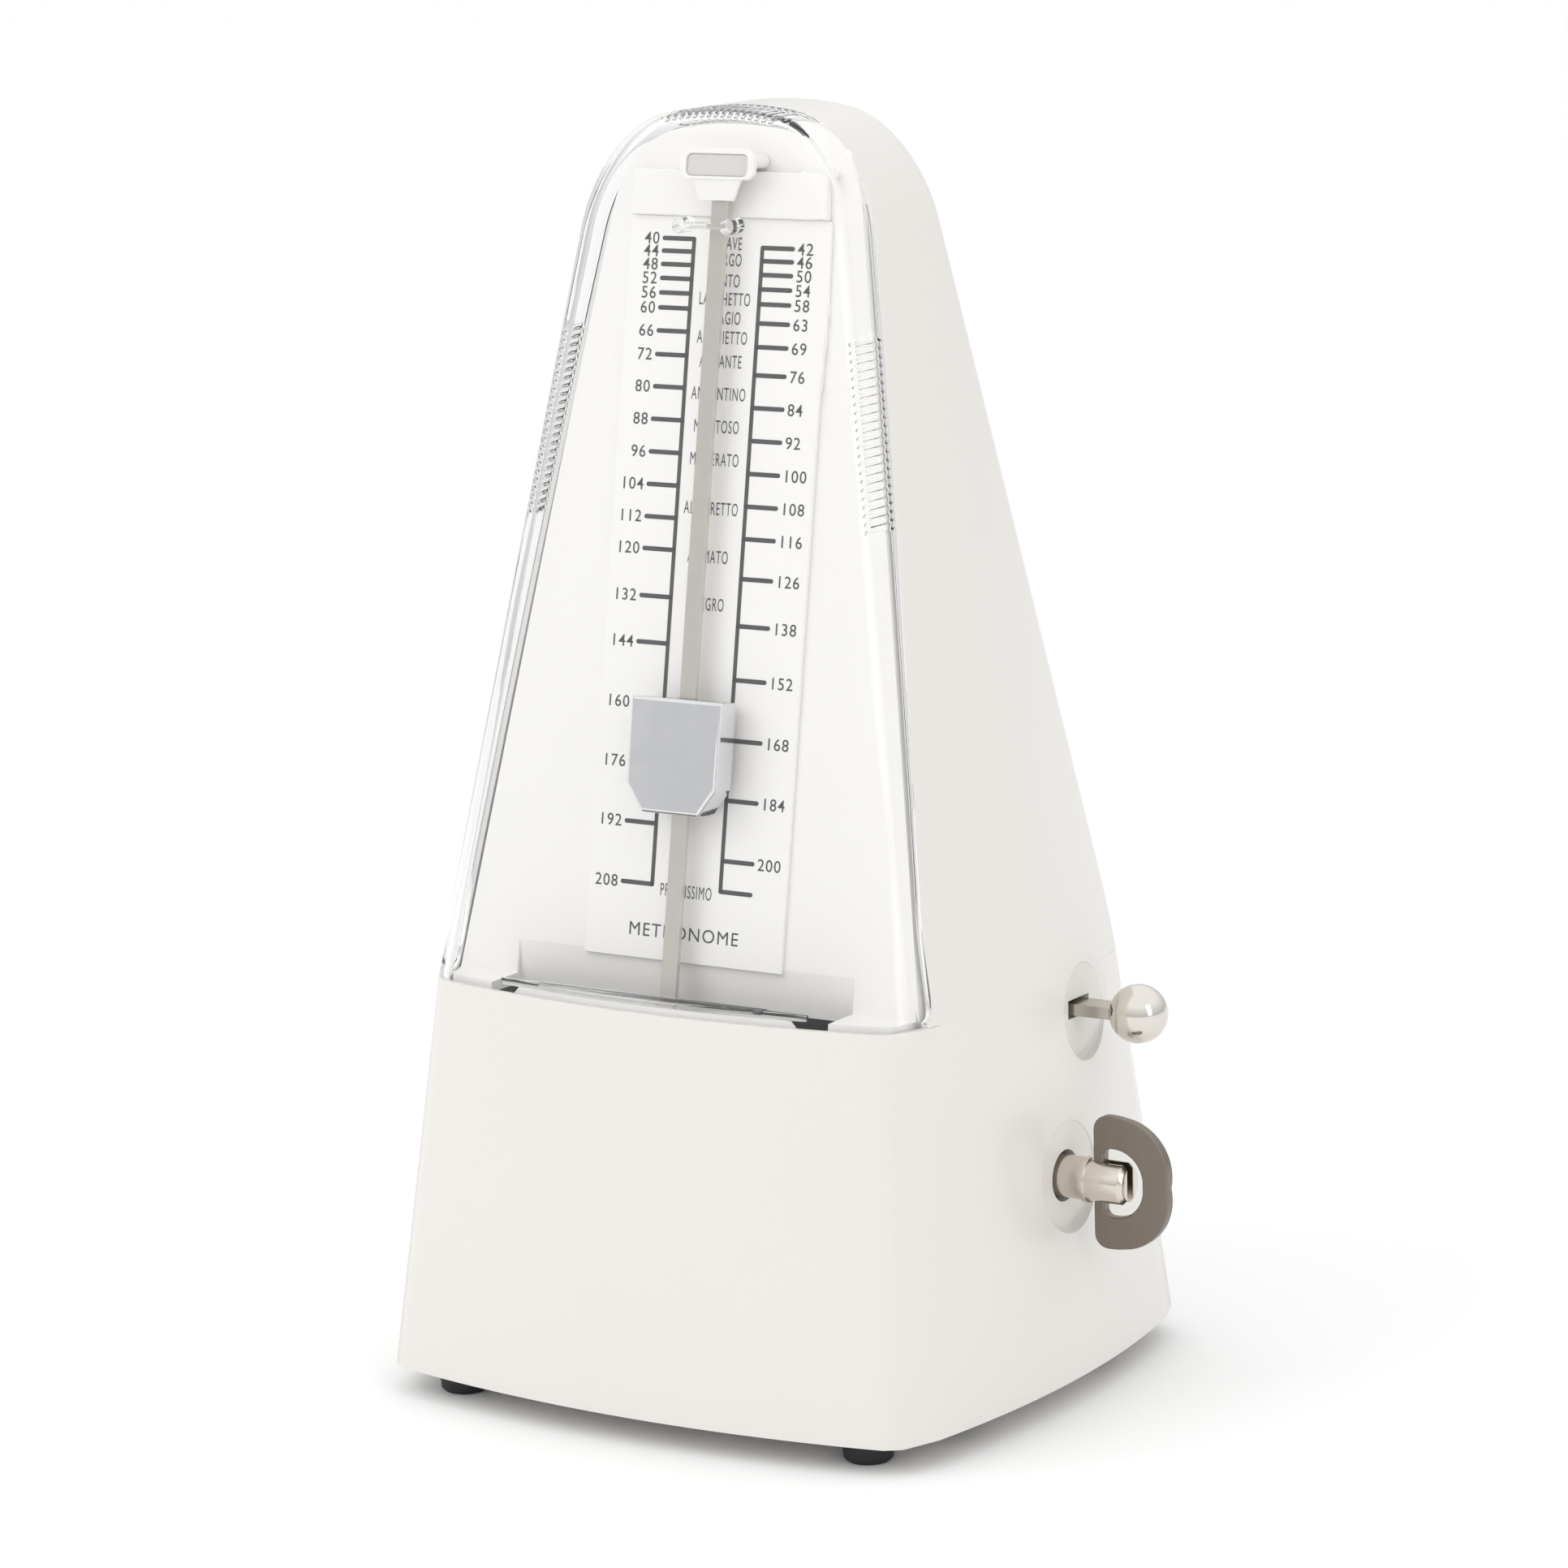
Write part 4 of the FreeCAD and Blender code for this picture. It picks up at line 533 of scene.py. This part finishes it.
MATERIALS = {
    "case_plastic": plastic("warm_white_plastic", (0.755, 0.735, 0.70), (0.77, 0.75, 0.715),
                            0.28, 0.33, 0.12),
    "dial_plastic": plastic("dial_white_plastic", (0.82, 0.81, 0.785), (0.84, 0.83, 0.805), 0.30, 0.38),
    "clear_plastic": clear_plastic("clear_plastic"),
    "chrome": metal("bright_chrome", (0.76, 0.76, 0.775), (0.80, 0.80, 0.815), 0.06, 0.13),
    "brushed_steel": metal("brushed_steel", (0.64, 0.60, 0.55), (0.70, 0.66, 0.61), 0.36, 0.44,
                           900.0, (1.0, 1.0, 0.05), 0.08),
    "nickel": metal("satin_nickel", (0.66, 0.61, 0.54), (0.74, 0.69, 0.62), 0.14, 0.22),
    "plated_steel": metal("zinc_plated_steel", (0.50, 0.50, 0.49), (0.58, 0.58, 0.57), 0.25, 0.4, 150.0),
    "brass": metal("turned_brass", (0.62, 0.44, 0.17), (0.72, 0.53, 0.24), 0.18, 0.3, 600.0),
    "spring_steel": metal("blued_steel", (0.10, 0.11, 0.15), (0.17, 0.17, 0.20), 0.25, 0.38),
    "foot_rubber": plastic("foot_rubber", (0.012, 0.012, 0.014), (0.022, 0.022, 0.024), 0.5, 0.7),
}
INK = plastic("dial_ink", (0.045, 0.045, 0.048), (0.065, 0.065, 0.068), 0.4, 0.55)

# parts with a colour of their own instead of their slot's: the panel, header and dial take a whiter white, partly
# their own colour and partly painted light that makes up for light the clear cover holds back; the key plate is a
# dark steel, the knob a lighter and the bar a darker nickel
# partly painted light: a whiter white for the panel, header and hood behind the clear cover
PANEL_WHITE_WITH_PAINTED_LIGHT = plastic("panel_white", (0.90, 0.885, 0.86), (0.915, 0.90, 0.875), 0.30, 0.38)
OWN_TONE_AND_PAINTED_LIGHT = {
    "front_panel": PANEL_WHITE_WITH_PAINTED_LIGHT,
    "header_block": PANEL_WHITE_WITH_PAINTED_LIGHT,
    # partly painted light: the dial's white is set brighter to make up for light lost behind the clear cover
    "dial_plate": plastic("dial_white", (0.915, 0.90, 0.875), (0.93, 0.915, 0.89), 0.28, 0.34),
    "key_plate": metal("key_steel", (0.215, 0.185, 0.160), (0.255, 0.222, 0.195), 0.30, 0.38,
                       500.0, (1.0, 1.0, 0.08), 0.05),
    "selector_knob": metal("knob_nickel", (0.70, 0.665, 0.615), (0.74, 0.705, 0.655), 0.09, 0.15),
    "selector_bar": metal("bar_nickel", (0.52, 0.49, 0.45), (0.58, 0.55, 0.51), 0.16, 0.24),
}

NODE_SLOT = {row["node"]: row["material_slot"] for row in RECORD["subparts"]}
for node_name, cad_object in NODES.items():
    cad_object.data.materials.clear()
    cad_object.data.materials.append(OWN_TONE_AND_PAINTED_LIGHT.get(node_name, MATERIALS[NODE_SLOT[node_name]]))

# ---------------------------------------------------------------- case and cover

case = make_case()
KEY_LOW, KEY_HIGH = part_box("key_shank")
BAR_LOW, BAR_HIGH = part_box("selector_bar")
KEY_Y, KEY_Z = (KEY_LOW.y + KEY_HIGH.y) / 2, (KEY_LOW.z + KEY_HIGH.z) / 2
BAR_Y, BAR_Z = (BAR_LOW.y + BAR_HIGH.y) / 2, (BAR_LOW.z + BAR_HIGH.z) / 2


KEY_RECESS_R, KEY_RECESS_DEEP = 9.5 * MM, 1.05 * MM
BAR_RECESS_R, BAR_RECESS_DEEP = 8.3 * MM, 1.3 * MM
BAR_RECESS_DROP = 0.6 * MM
RECESS_LIP = 0.5 * MM
BACKING_OVER = 1.5 * MM
BACKING_SINK = 0.05 * MM
TOOL_LONG = 20 * MM
HOLE_REACH = 12 * MM
KEY_HOLE_R = 4.4 * MM
BAR_HOLE_HALF_Y, BAR_HOLE_HALF_Z = 3.5 * MM, 1.6 * MM


def side_reach(y, z):
    """How far the right face stands out at one place."""
    return CENTRE_X + to_surface(np.array([[0, y, z]]), np.array([[1.0, 0, 0]]), LONG_REACH)[0][0]


def recess(shell, y, z, radius, deep):
    """A flat round recess in the right face, on a round backing inside, with a soft lip."""
    face = side_reach(y, z) - deep
    wide = radius + BACKING_OVER
    backing = lathe("backing", [(-WALL, 0), (-WALL, wide), (0, wide), (0, 0)],
                    (face - BACKING_SINK, y, z), (1, 0, 0))
    shell = cut(shell, backing, "UNION")
    flat = radius - RECESS_LIP
    profile = [(0, 0), (0, flat)]
    for turn in np.radians((20, 45, 70, 90)):
        profile.append((RECESS_LIP * (1 - math.cos(turn)), flat + RECESS_LIP * math.sin(turn)))
    profile += [(TOOL_LONG, radius), (TOOL_LONG, 0)]
    return cut(shell, lathe("tool", profile, (face, y, z), (1, 0, 0), 96))


case = recess(case, KEY_Y, KEY_Z, KEY_RECESS_R, KEY_RECESS_DEEP)
case = recess(case, BAR_Y, BAR_Z - BAR_RECESS_DROP, BAR_RECESS_R, BAR_RECESS_DEEP)
key_face = side_reach(KEY_Y, KEY_Z)
bar_face = side_reach(BAR_Y, BAR_Z)
key_hole = [(-HOLE_REACH, 0), (-HOLE_REACH, KEY_HOLE_R), (HOLE_REACH, KEY_HOLE_R), (HOLE_REACH, 0)]
case = cut(case, lathe("tool", key_hole, (key_face, KEY_Y, KEY_Z), (1, 0, 0), 72))
case = cut(case, block("tool", (bar_face - HOLE_REACH, BAR_Y - BAR_HOLE_HALF_Y, BAR_Z - BAR_HOLE_HALF_Z),
                       (bar_face + HOLE_REACH, BAR_Y + BAR_HOLE_HALF_Y, BAR_Z + BAR_HOLE_HALF_Z)))
smooth(case)
link(case, "case", MATERIALS["case_plastic"])
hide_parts("case_shell")

cover = smooth(make_cover())
link(cover, "cover", MATERIALS["clear_plastic"])
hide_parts("front_cover")

FLANGE_THICK = 1.1 * MM
FLANGE_BACK_Y = -37.9 * MM
FLANGE_HALF_W = 36 * MM
TAB_HALF_W = 22 * MM
TAB_OVER = 0.2 * MM
FLANGE_LIFT = 0.15 * MM
FLANGE_POINTS = 25
FLANGE_SHORTEST = 0.3 * MM


def make_flange():
    """The cover's clear foot: a ledge behind its front face, with a stepped tab in the middle."""
    low_z = SHOULDER_Z + SEAM_GAP + FLANGE_LIFT
    tab_z = (low_z + FLANGE_THICK * 0.5, low_z + FLANGE_THICK * 1.1)
    inset = COVER_WALL * 0.8
    for name, half_w, back_y, (low, high) in (
            ("cover_flange", FLANGE_HALF_W, FLANGE_BACK_Y, (low_z, low_z + FLANGE_THICK)),
            ("cover_tab", TAB_HALF_W, FLANGE_BACK_Y + TAB_OVER, tab_z)):
        across = np.linspace(-half_w, half_w, FLANGE_POINTS)
        front = to_surface(np.array([[x, 0, high] for x in across]), np.array([[0, -1.0, 0]] * FLANGE_POINTS))
        outline = [(x, y + inset) for x, y, _ in front if y + inset < back_y - FLANGE_SHORTEST]
        outline += [(outline[-1][0], back_y), (outline[0][0], back_y)]
        piece = prism(name, *([(CENTRE_X + x, y, z) for x, y in outline] for z in (low, high)))
        bevel(piece, 0.15 * MM, 2, 50.0)
        link(smooth(baked(piece, name)), "cover", MATERIALS["clear_plastic"])


make_flange()

# ---------------------------------------------------------------- dial printing

INK_LIFT = 0.03 * MM
CAPITAL_SHARE = 0.69    # the font's capitals over its size


def on_dial(x, z, lift=INK_LIFT):
    """A point of the dial's face: x across, at height z."""
    along = (z - DIAL_FOOT.z) / SLOPE_AXIS.z
    return DIAL_FOOT + Vector((x, 0, 0)) + SLOPE_AXIS * along + DIAL_NORMAL * lift


class Ink:
    """Gathers flat printed shapes into one mesh."""

    def __init__(self):
        self.verts = []
        self.faces = []

    def stroke(self, ends, width):
        """A line between two (x, z) places, with round ends."""
        (x0, z0), (x1, z1) = ends
        way = math.atan2(z1 - z0, x1 - x0)
        points = []
        for x, z, first in ((x1, z1, way - math.pi / 2), (x0, z0, way + math.pi / 2)):
            for k in range(7):
                turn = first + math.pi * k / 6
                points.append(on_dial(x + width / 2 * math.cos(turn), z + width / 2 * math.sin(turn)))
        start = len(self.verts)
        self.verts += points
        self.faces.append(tuple(range(start, start + len(points))))

    def text(self, words, x, z, tall, align, squeeze=1.0, spacing=1.0, weight=0.0):
        """Words printed from (x, z), which is the middle of their height."""
        curve = bpy.data.curves.new("print", "FONT")
        curve.body = words
        curve.size = tall / CAPITAL_SHARE
        curve.align_x = align
        curve.space_character = spacing
        curve.offset = weight
        curve.resolution_u = 4
        holder = bpy.data.objects.new("print", curve)
        bpy.context.scene.collection.objects.link(holder)
        graph = bpy.context.evaluated_depsgraph_get()
        mesh = bpy.data.meshes.new_from_object(holder.evaluated_get(graph))
        start = len(self.verts)
        for vert in mesh.vertices:
            self.verts.append(on_dial(x + vert.co.x * squeeze, z + (vert.co.y - tall / 2) * SLOPE_AXIS.z))
        self.faces += [tuple(start + k for k in face.vertices) for face in mesh.polygons]
        bpy.data.objects.remove(holder)
        bpy.data.curves.remove(curve)
        bpy.data.meshes.remove(mesh)


STAFF_LOW, STAFF_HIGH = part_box("pendulum_staff")
PIVOT_Z = (STAFF_LOW.z + STAFF_HIGH.z) / 2
# a pendulum with its weight r mm above the pivot beats n times a minute where
# n * n * (r * r + SWING_INERTIA) = BEAT_FACTOR * (BALANCE_REACH - r)
BEAT_FACTOR = 4.81e6
SWING_INERTIA = 11110.0
BALANCE_REACH = 159.0
MARKS = (*range(40, 60, 2), *range(60, 72, 3), *range(72, 120, 4), *range(120, 144, 6), *range(144, 209, 8))
LAST_MARK = MARKS[-1]
LINE_X = 6.7 * MM
TICK_LONG = 5.9 * MM
LINE_WIDE = 0.75 * MM
NUMBER_TALL = 1.95 * MM
WORD_TALL = 2.1 * MM
TITLE_Z = 81.2 * MM
TITLE_TALL = 2.2 * MM
NUMBER_GAP = 0.9 * MM
NUMBER_SPACING, WORD_SPACING = 1.12, 1.15
NUMBER_WEIGHT = 0.012 * MM
WORD_SQUEEZE = 0.52
# the tempo words, each at a number of beats
WORDS = (("GRAVE", 41), ("LARGO", 46), ("LENTO", 52), ("LARGHETTO", 57), ("ADAGIO", 62), ("ADAGIETTO", 67),
         ("ANDANTE", 73), ("ANDANTINO", 81), ("MAESTOSO", 89), ("MODERATO", 97), ("ALLEGRETTO", 109),
         ("ANIMATO", 121), ("ALLEGRO", 133), ("VIVACE", 161), ("PRESTO", 180), ("PRESTISSIMO", 209))


def mark_z(beats):
    """Height on the dial of the weight's top edge at a number of beats a minute."""
    q = BEAT_FACTOR / beats ** 2
    return PIVOT_Z + MM * (-q + math.sqrt(q * q - 4 * (SWING_INERTIA - q * BALANCE_REACH))) / 2


def make_print():
    """The dial's two scales with their numbers, the tempo words and the title."""
    ink = Ink()
    end_z = mark_z(LAST_MARK)
    for side, marks, align in ((-1, MARKS[::2], "RIGHT"), (1, MARKS[1::2], "LEFT")):
        ink.stroke(((side * LINE_X, mark_z(marks[0])), (side * LINE_X, end_z)), LINE_WIDE)
        for beats in marks:
            z = mark_z(beats)
            ink.stroke(((side * LINE_X, z), (side * (LINE_X + TICK_LONG), z)), LINE_WIDE)
            ink.text(str(beats), side * (LINE_X + TICK_LONG + NUMBER_GAP), z, NUMBER_TALL, align,
                     spacing=NUMBER_SPACING, weight=NUMBER_WEIGHT)
    ink.stroke(((LINE_X, end_z), (LINE_X + TICK_LONG, end_z)), LINE_WIDE)
    for word, beats in WORDS:
        ink.text(word, 0, mark_z(beats), WORD_TALL, "CENTER", WORD_SQUEEZE, WORD_SPACING)
    ink.text("METRONOME", 0, TITLE_Z, TITLE_TALL, "CENTER", spacing=WORD_SPACING)
    return mesh_object("dial_print", ink.verts, ink.faces)


dial_print = make_print()
link(dial_print, "case", INK)

# ---------------------------------------------------------------- softened edges of the small parts


def refined(node, width, segments=2):
    """A node's own shape with its edges rounded, standing for the node."""
    piece = bpy.data.objects.new(node + "_soft", NODES[node].data.copy())
    weld(piece)
    work = bmesh.new()
    work.from_mesh(piece.data)
    bmesh.ops.dissolve_limit(work, angle_limit=math.radians(0.5), verts=work.verts, edges=work.edges)
    work.to_mesh(piece.data)
    work.free()
    smooth(piece, 30.0)
    bevel(piece, width, segments, 35.0)
    piece.modifiers["edge"].harden_normals = True
    piece = baked(piece, piece.name)
    body = next(name for name, members in RECORD["behaviour"]["bodies"].items() if node in members)
    link(piece, body, OWN_TONE_AND_PAINTED_LIGHT.get(node, MATERIALS[NODE_SLOT[node]]))
    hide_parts(node)


SOFT_EDGES = (("sliding_weight", 0.3 * MM), ("key_plate", 0.28 * MM), ("key_shank", 0.2 * MM),
              ("pendulum_rod", 0.12 * MM), ("header_block", 0.35 * MM), ("dial_plate", 0.15 * MM))
for soft_node, soft_width in SOFT_EDGES:
    refined(soft_node, soft_width)

# ---------------------------------------------------------------- hood over the rod's tip

CATCH_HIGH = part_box("rod_catch")[1]
ROD_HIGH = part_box("pendulum_rod")[1]
HOOD_TOP_Z = CATCH_HIGH.z - 1.0 * MM
HOOD_BAND_Z = ROD_HIGH.z - 1.6 * MM
HOOD_TIP_Z = ROD_HIGH.z - 5.0 * MM
HOOD_HALF_W = 7.2 * MM
HOOD_CORNER = 1.8 * MM
HOOD_LIFT = 4.1 * MM
HOOD_FRONT = 5.1 * MM
HOOD_EDGE = 0.22 * MM
NECK_HALF_W, NECK_TIP_HALF_W = 4.7 * MM, 3.3 * MM
NECK_OVER = 0.5 * MM
NECK_BACK = 0.35 * MM
ROOT_INSET, ROOT_CLEAR, ROOT_DROP, ROOT_CORNER = 0.6 * MM, 0.6 * MM, 0.3 * MM, 1.2 * MM
ROOT_SINK, ROOT_OVER = 0.5 * MM, 0.3 * MM
WINDOW_HALF_W, WINDOW_LOW, WINDOW_HIGH, WINDOW_CORNER = 6.0 * MM, 4.6 * MM, 0.9 * MM, 1.0 * MM
WINDOW_DEEP = 0.6 * MM
# room, depth and front of the grey sheet that paints the shade inside the hood's recessed slot
SHADE_SHEET_ROOM = 0.2 * MM
SHADE_SHEET_BACK, SHADE_SHEET_FRONT = 0.58 * MM, 0.35 * MM


def dial_slab(name, outline, low, high):
    """A plate parallel to the dial: (x, z) outline, between two distances in front of it."""
    return prism(name, *([on_dial(x, z, lift) for x, z in outline] for lift in (low, high)))


def round_box(half_w, low_z, high_z, radius, steps=6):
    """An (x, z) rectangle's outline with round corners."""
    outline = []
    for sx, sz, first in ((1, 1, 0), (-1, 1, 90), (-1, -1, 180), (1, -1, 270)):
        centre_z = high_z - radius if sz > 0 else low_z + radius
        for k in range(steps + 1):
            turn = math.radians(first + 90 * k / steps)
            x = sx * (half_w - radius) + radius * math.cos(turn)
            outline.append((x, centre_z + radius * math.sin(turn)))
    return outline


def make_hood():
    """A lozenge with a window over a narrowing neck, held off the header by a root above the rod's tip, and a grey
    sheet of painted shade in the window.
    """
    band = round_box(HOOD_HALF_W, HOOD_BAND_Z, HOOD_TOP_Z, HOOD_CORNER)
    hood = dial_slab("catch_hood", band, HOOD_LIFT, HOOD_FRONT)
    neck_z = HOOD_BAND_Z + NECK_OVER
    neck = [(-NECK_HALF_W, neck_z), (NECK_HALF_W, neck_z),
            (NECK_TIP_HALF_W, HOOD_TIP_Z), (-NECK_TIP_HALF_W, HOOD_TIP_Z)]
    hood = cut(hood, dial_slab("neck", neck, HOOD_LIFT, HOOD_FRONT - NECK_BACK), "UNION")
    root = round_box(HOOD_HALF_W - ROOT_INSET, ROD_HIGH.z + ROOT_CLEAR, HOOD_TOP_Z - ROOT_DROP, ROOT_CORNER)
    hood = cut(hood, dial_slab("root", root, -ROOT_SINK, HOOD_LIFT + ROOT_OVER), "UNION")
    window = round_box(WINDOW_HALF_W, HOOD_TOP_Z - WINDOW_LOW, HOOD_TOP_Z - WINDOW_HIGH, WINDOW_CORNER)
    hood = cut(hood, dial_slab("window", window, HOOD_FRONT - WINDOW_DEEP, HOOD_FRONT + 1 * MM))
    bevel(hood, HOOD_EDGE, 3, 40.0)
    hood = smooth(baked(hood, "catch_hood"))
    # the hood behind the clear cover takes the same whiter white, partly painted light
    link(hood, "case", PANEL_WHITE_WITH_PAINTED_LIGHT)
    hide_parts("rod_catch")
    # painted shade: a grey sheet sunk in the window stands for the shade inside the recessed slot
    inner = round_box(WINDOW_HALF_W - SHADE_SHEET_ROOM, HOOD_TOP_Z - WINDOW_LOW + SHADE_SHEET_ROOM,
                      HOOD_TOP_Z - WINDOW_HIGH - SHADE_SHEET_ROOM, WINDOW_CORNER - SHADE_SHEET_ROOM)
    pane = dial_slab("catch_slot_shade", inner, HOOD_FRONT - SHADE_SHEET_BACK, HOOD_FRONT - SHADE_SHEET_FRONT)
    link(pane, "case", SLOT_SHADE_GREY)


# painted shade: the grey of the sheet in the hood's slot, standing for the shade inside it
SLOT_SHADE_GREY = plastic("slot_shade_grey", (0.62, 0.60, 0.57), (0.70, 0.68, 0.65), 0.15, 0.25, 0.3)
make_hood()

# ---------------------------------------------------------------- camera, light and floor

AZIMUTH, ELEVATION, ROLL = (math.radians(a) for a in (32.657, 10.847, -1.485))
DISTANCE = 0.9255
TARGET = Vector((CENTRE_X, 0, 0.1088))
SENSOR = 36.0
LENS = 125.9199    # millimetres, like the sensor
SHIFT_X, SHIFT_Y = 0.006832, -0.028054
HORIZON, OVERHEAD = (0.55, 0.55, 0.56, 1), (1.0, 1.0, 1.0, 1)
OVERHEAD_FROM = 0.6
SKY_STRENGTH = 1.14
FLOOR_HALF = 9
LIGHT_AIM = (0, 0, 0.1)


def make_camera():
    """A camera that aims at TARGET from the azimuth, elevation and distance above."""
    data = bpy.data.cameras.new("camera")
    data.sensor_width = SENSOR
    data.lens = LENS
    data.shift_x = SHIFT_X
    data.shift_y = SHIFT_Y
    data.clip_start = 0.05
    data.clip_end = 50
    camera = bpy.data.objects.new("camera", data)
    back = Vector((math.sin(AZIMUTH) * math.cos(ELEVATION), -math.cos(AZIMUTH) * math.cos(ELEVATION),
                   math.sin(ELEVATION)))
    right = Vector((math.cos(AZIMUTH), math.sin(AZIMUTH), 0))
    up = back.cross(right)
    turned_right = right * math.cos(ROLL) + up * math.sin(ROLL)
    turned_up = up * math.cos(ROLL) - right * math.sin(ROLL)
    place = Matrix((turned_right, turned_up, back)).transposed().to_4x4()
    place.translation = TARGET + back * DISTANCE
    camera.matrix_world = place
    bpy.context.scene.collection.objects.link(camera)
    bpy.context.scene.camera = camera


def make_light(name, place, aim, size, power, tone=(1, 1, 1), mirrored=True):
    """A rectangular soft light; mirrored says whether polished pieces show it."""
    data = bpy.data.lights.new(name, "AREA")
    data.shape = "RECTANGLE"
    data.size, data.size_y = size
    data.energy = power
    data.color = tone
    lamp = bpy.data.objects.new(name, data)
    lamp.location = place
    lamp.visible_glossy = mirrored
    lamp.visible_transmission = mirrored
    lamp.rotation_euler = (Vector(aim) - Vector(place)).to_track_quat("-Z", "Y").to_euler()
    bpy.context.scene.collection.objects.link(lamp)


def make_world():
    """Bright overhead, dimmer towards the horizon."""
    world = bpy.data.worlds.new("studio")
    world.use_nodes = True
    tree = world.node_tree
    background = tree.nodes["Background"]
    coords = tree.nodes.new("ShaderNodeTexCoord")
    split = tree.nodes.new("ShaderNodeSeparateXYZ")
    ramp = tree.nodes.new("ShaderNodeValToRGB")
    ramp.color_ramp.elements[0].position = 0.0
    ramp.color_ramp.elements[0].color = HORIZON
    ramp.color_ramp.elements[1].position = OVERHEAD_FROM
    ramp.color_ramp.elements[1].color = OVERHEAD
    tree.links.new(coords.outputs["Generated"], split.inputs["Vector"])
    tree.links.new(split.outputs["Z"], ramp.inputs["Fac"])
    tree.links.new(ramp.outputs["Color"], background.inputs["Color"])
    background.inputs["Strength"].default_value = SKY_STRENGTH
    bpy.context.scene.world = world


def make_floor():
    """A wide pale floor at the feet."""
    half = FLOOR_HALF
    corners = [(-half, -half, 0), (half, -half, 0), (half, half, 0), (-half, half, 0)]
    floor = mesh_object("floor", corners, [(0, 1, 2, 3)])
    material, _, shader = new_material("pale_floor")
    shader.inputs["Base Color"].default_value = (0.93, 0.93, 0.93, 1)
    shader.inputs["Roughness"].default_value = 0.9
    shader.inputs["Specular IOR Level"].default_value = 0.1
    floor.data.materials.append(material)
    bpy.context.scene.collection.objects.link(floor)


make_camera()
make_world()
make_floor()
make_light("key_softbox", (-0.55, -0.75, 0.75), LIGHT_AIM, (0.7, 0.7), 2.2, mirrored=False)
make_light("side_softbox", (0.95, -0.25, 0.45), LIGHT_AIM, (0.3, 0.7), 0.75, (1.0, 0.97, 0.94))
bpy.context.scene.view_settings.view_transform = "Standard"
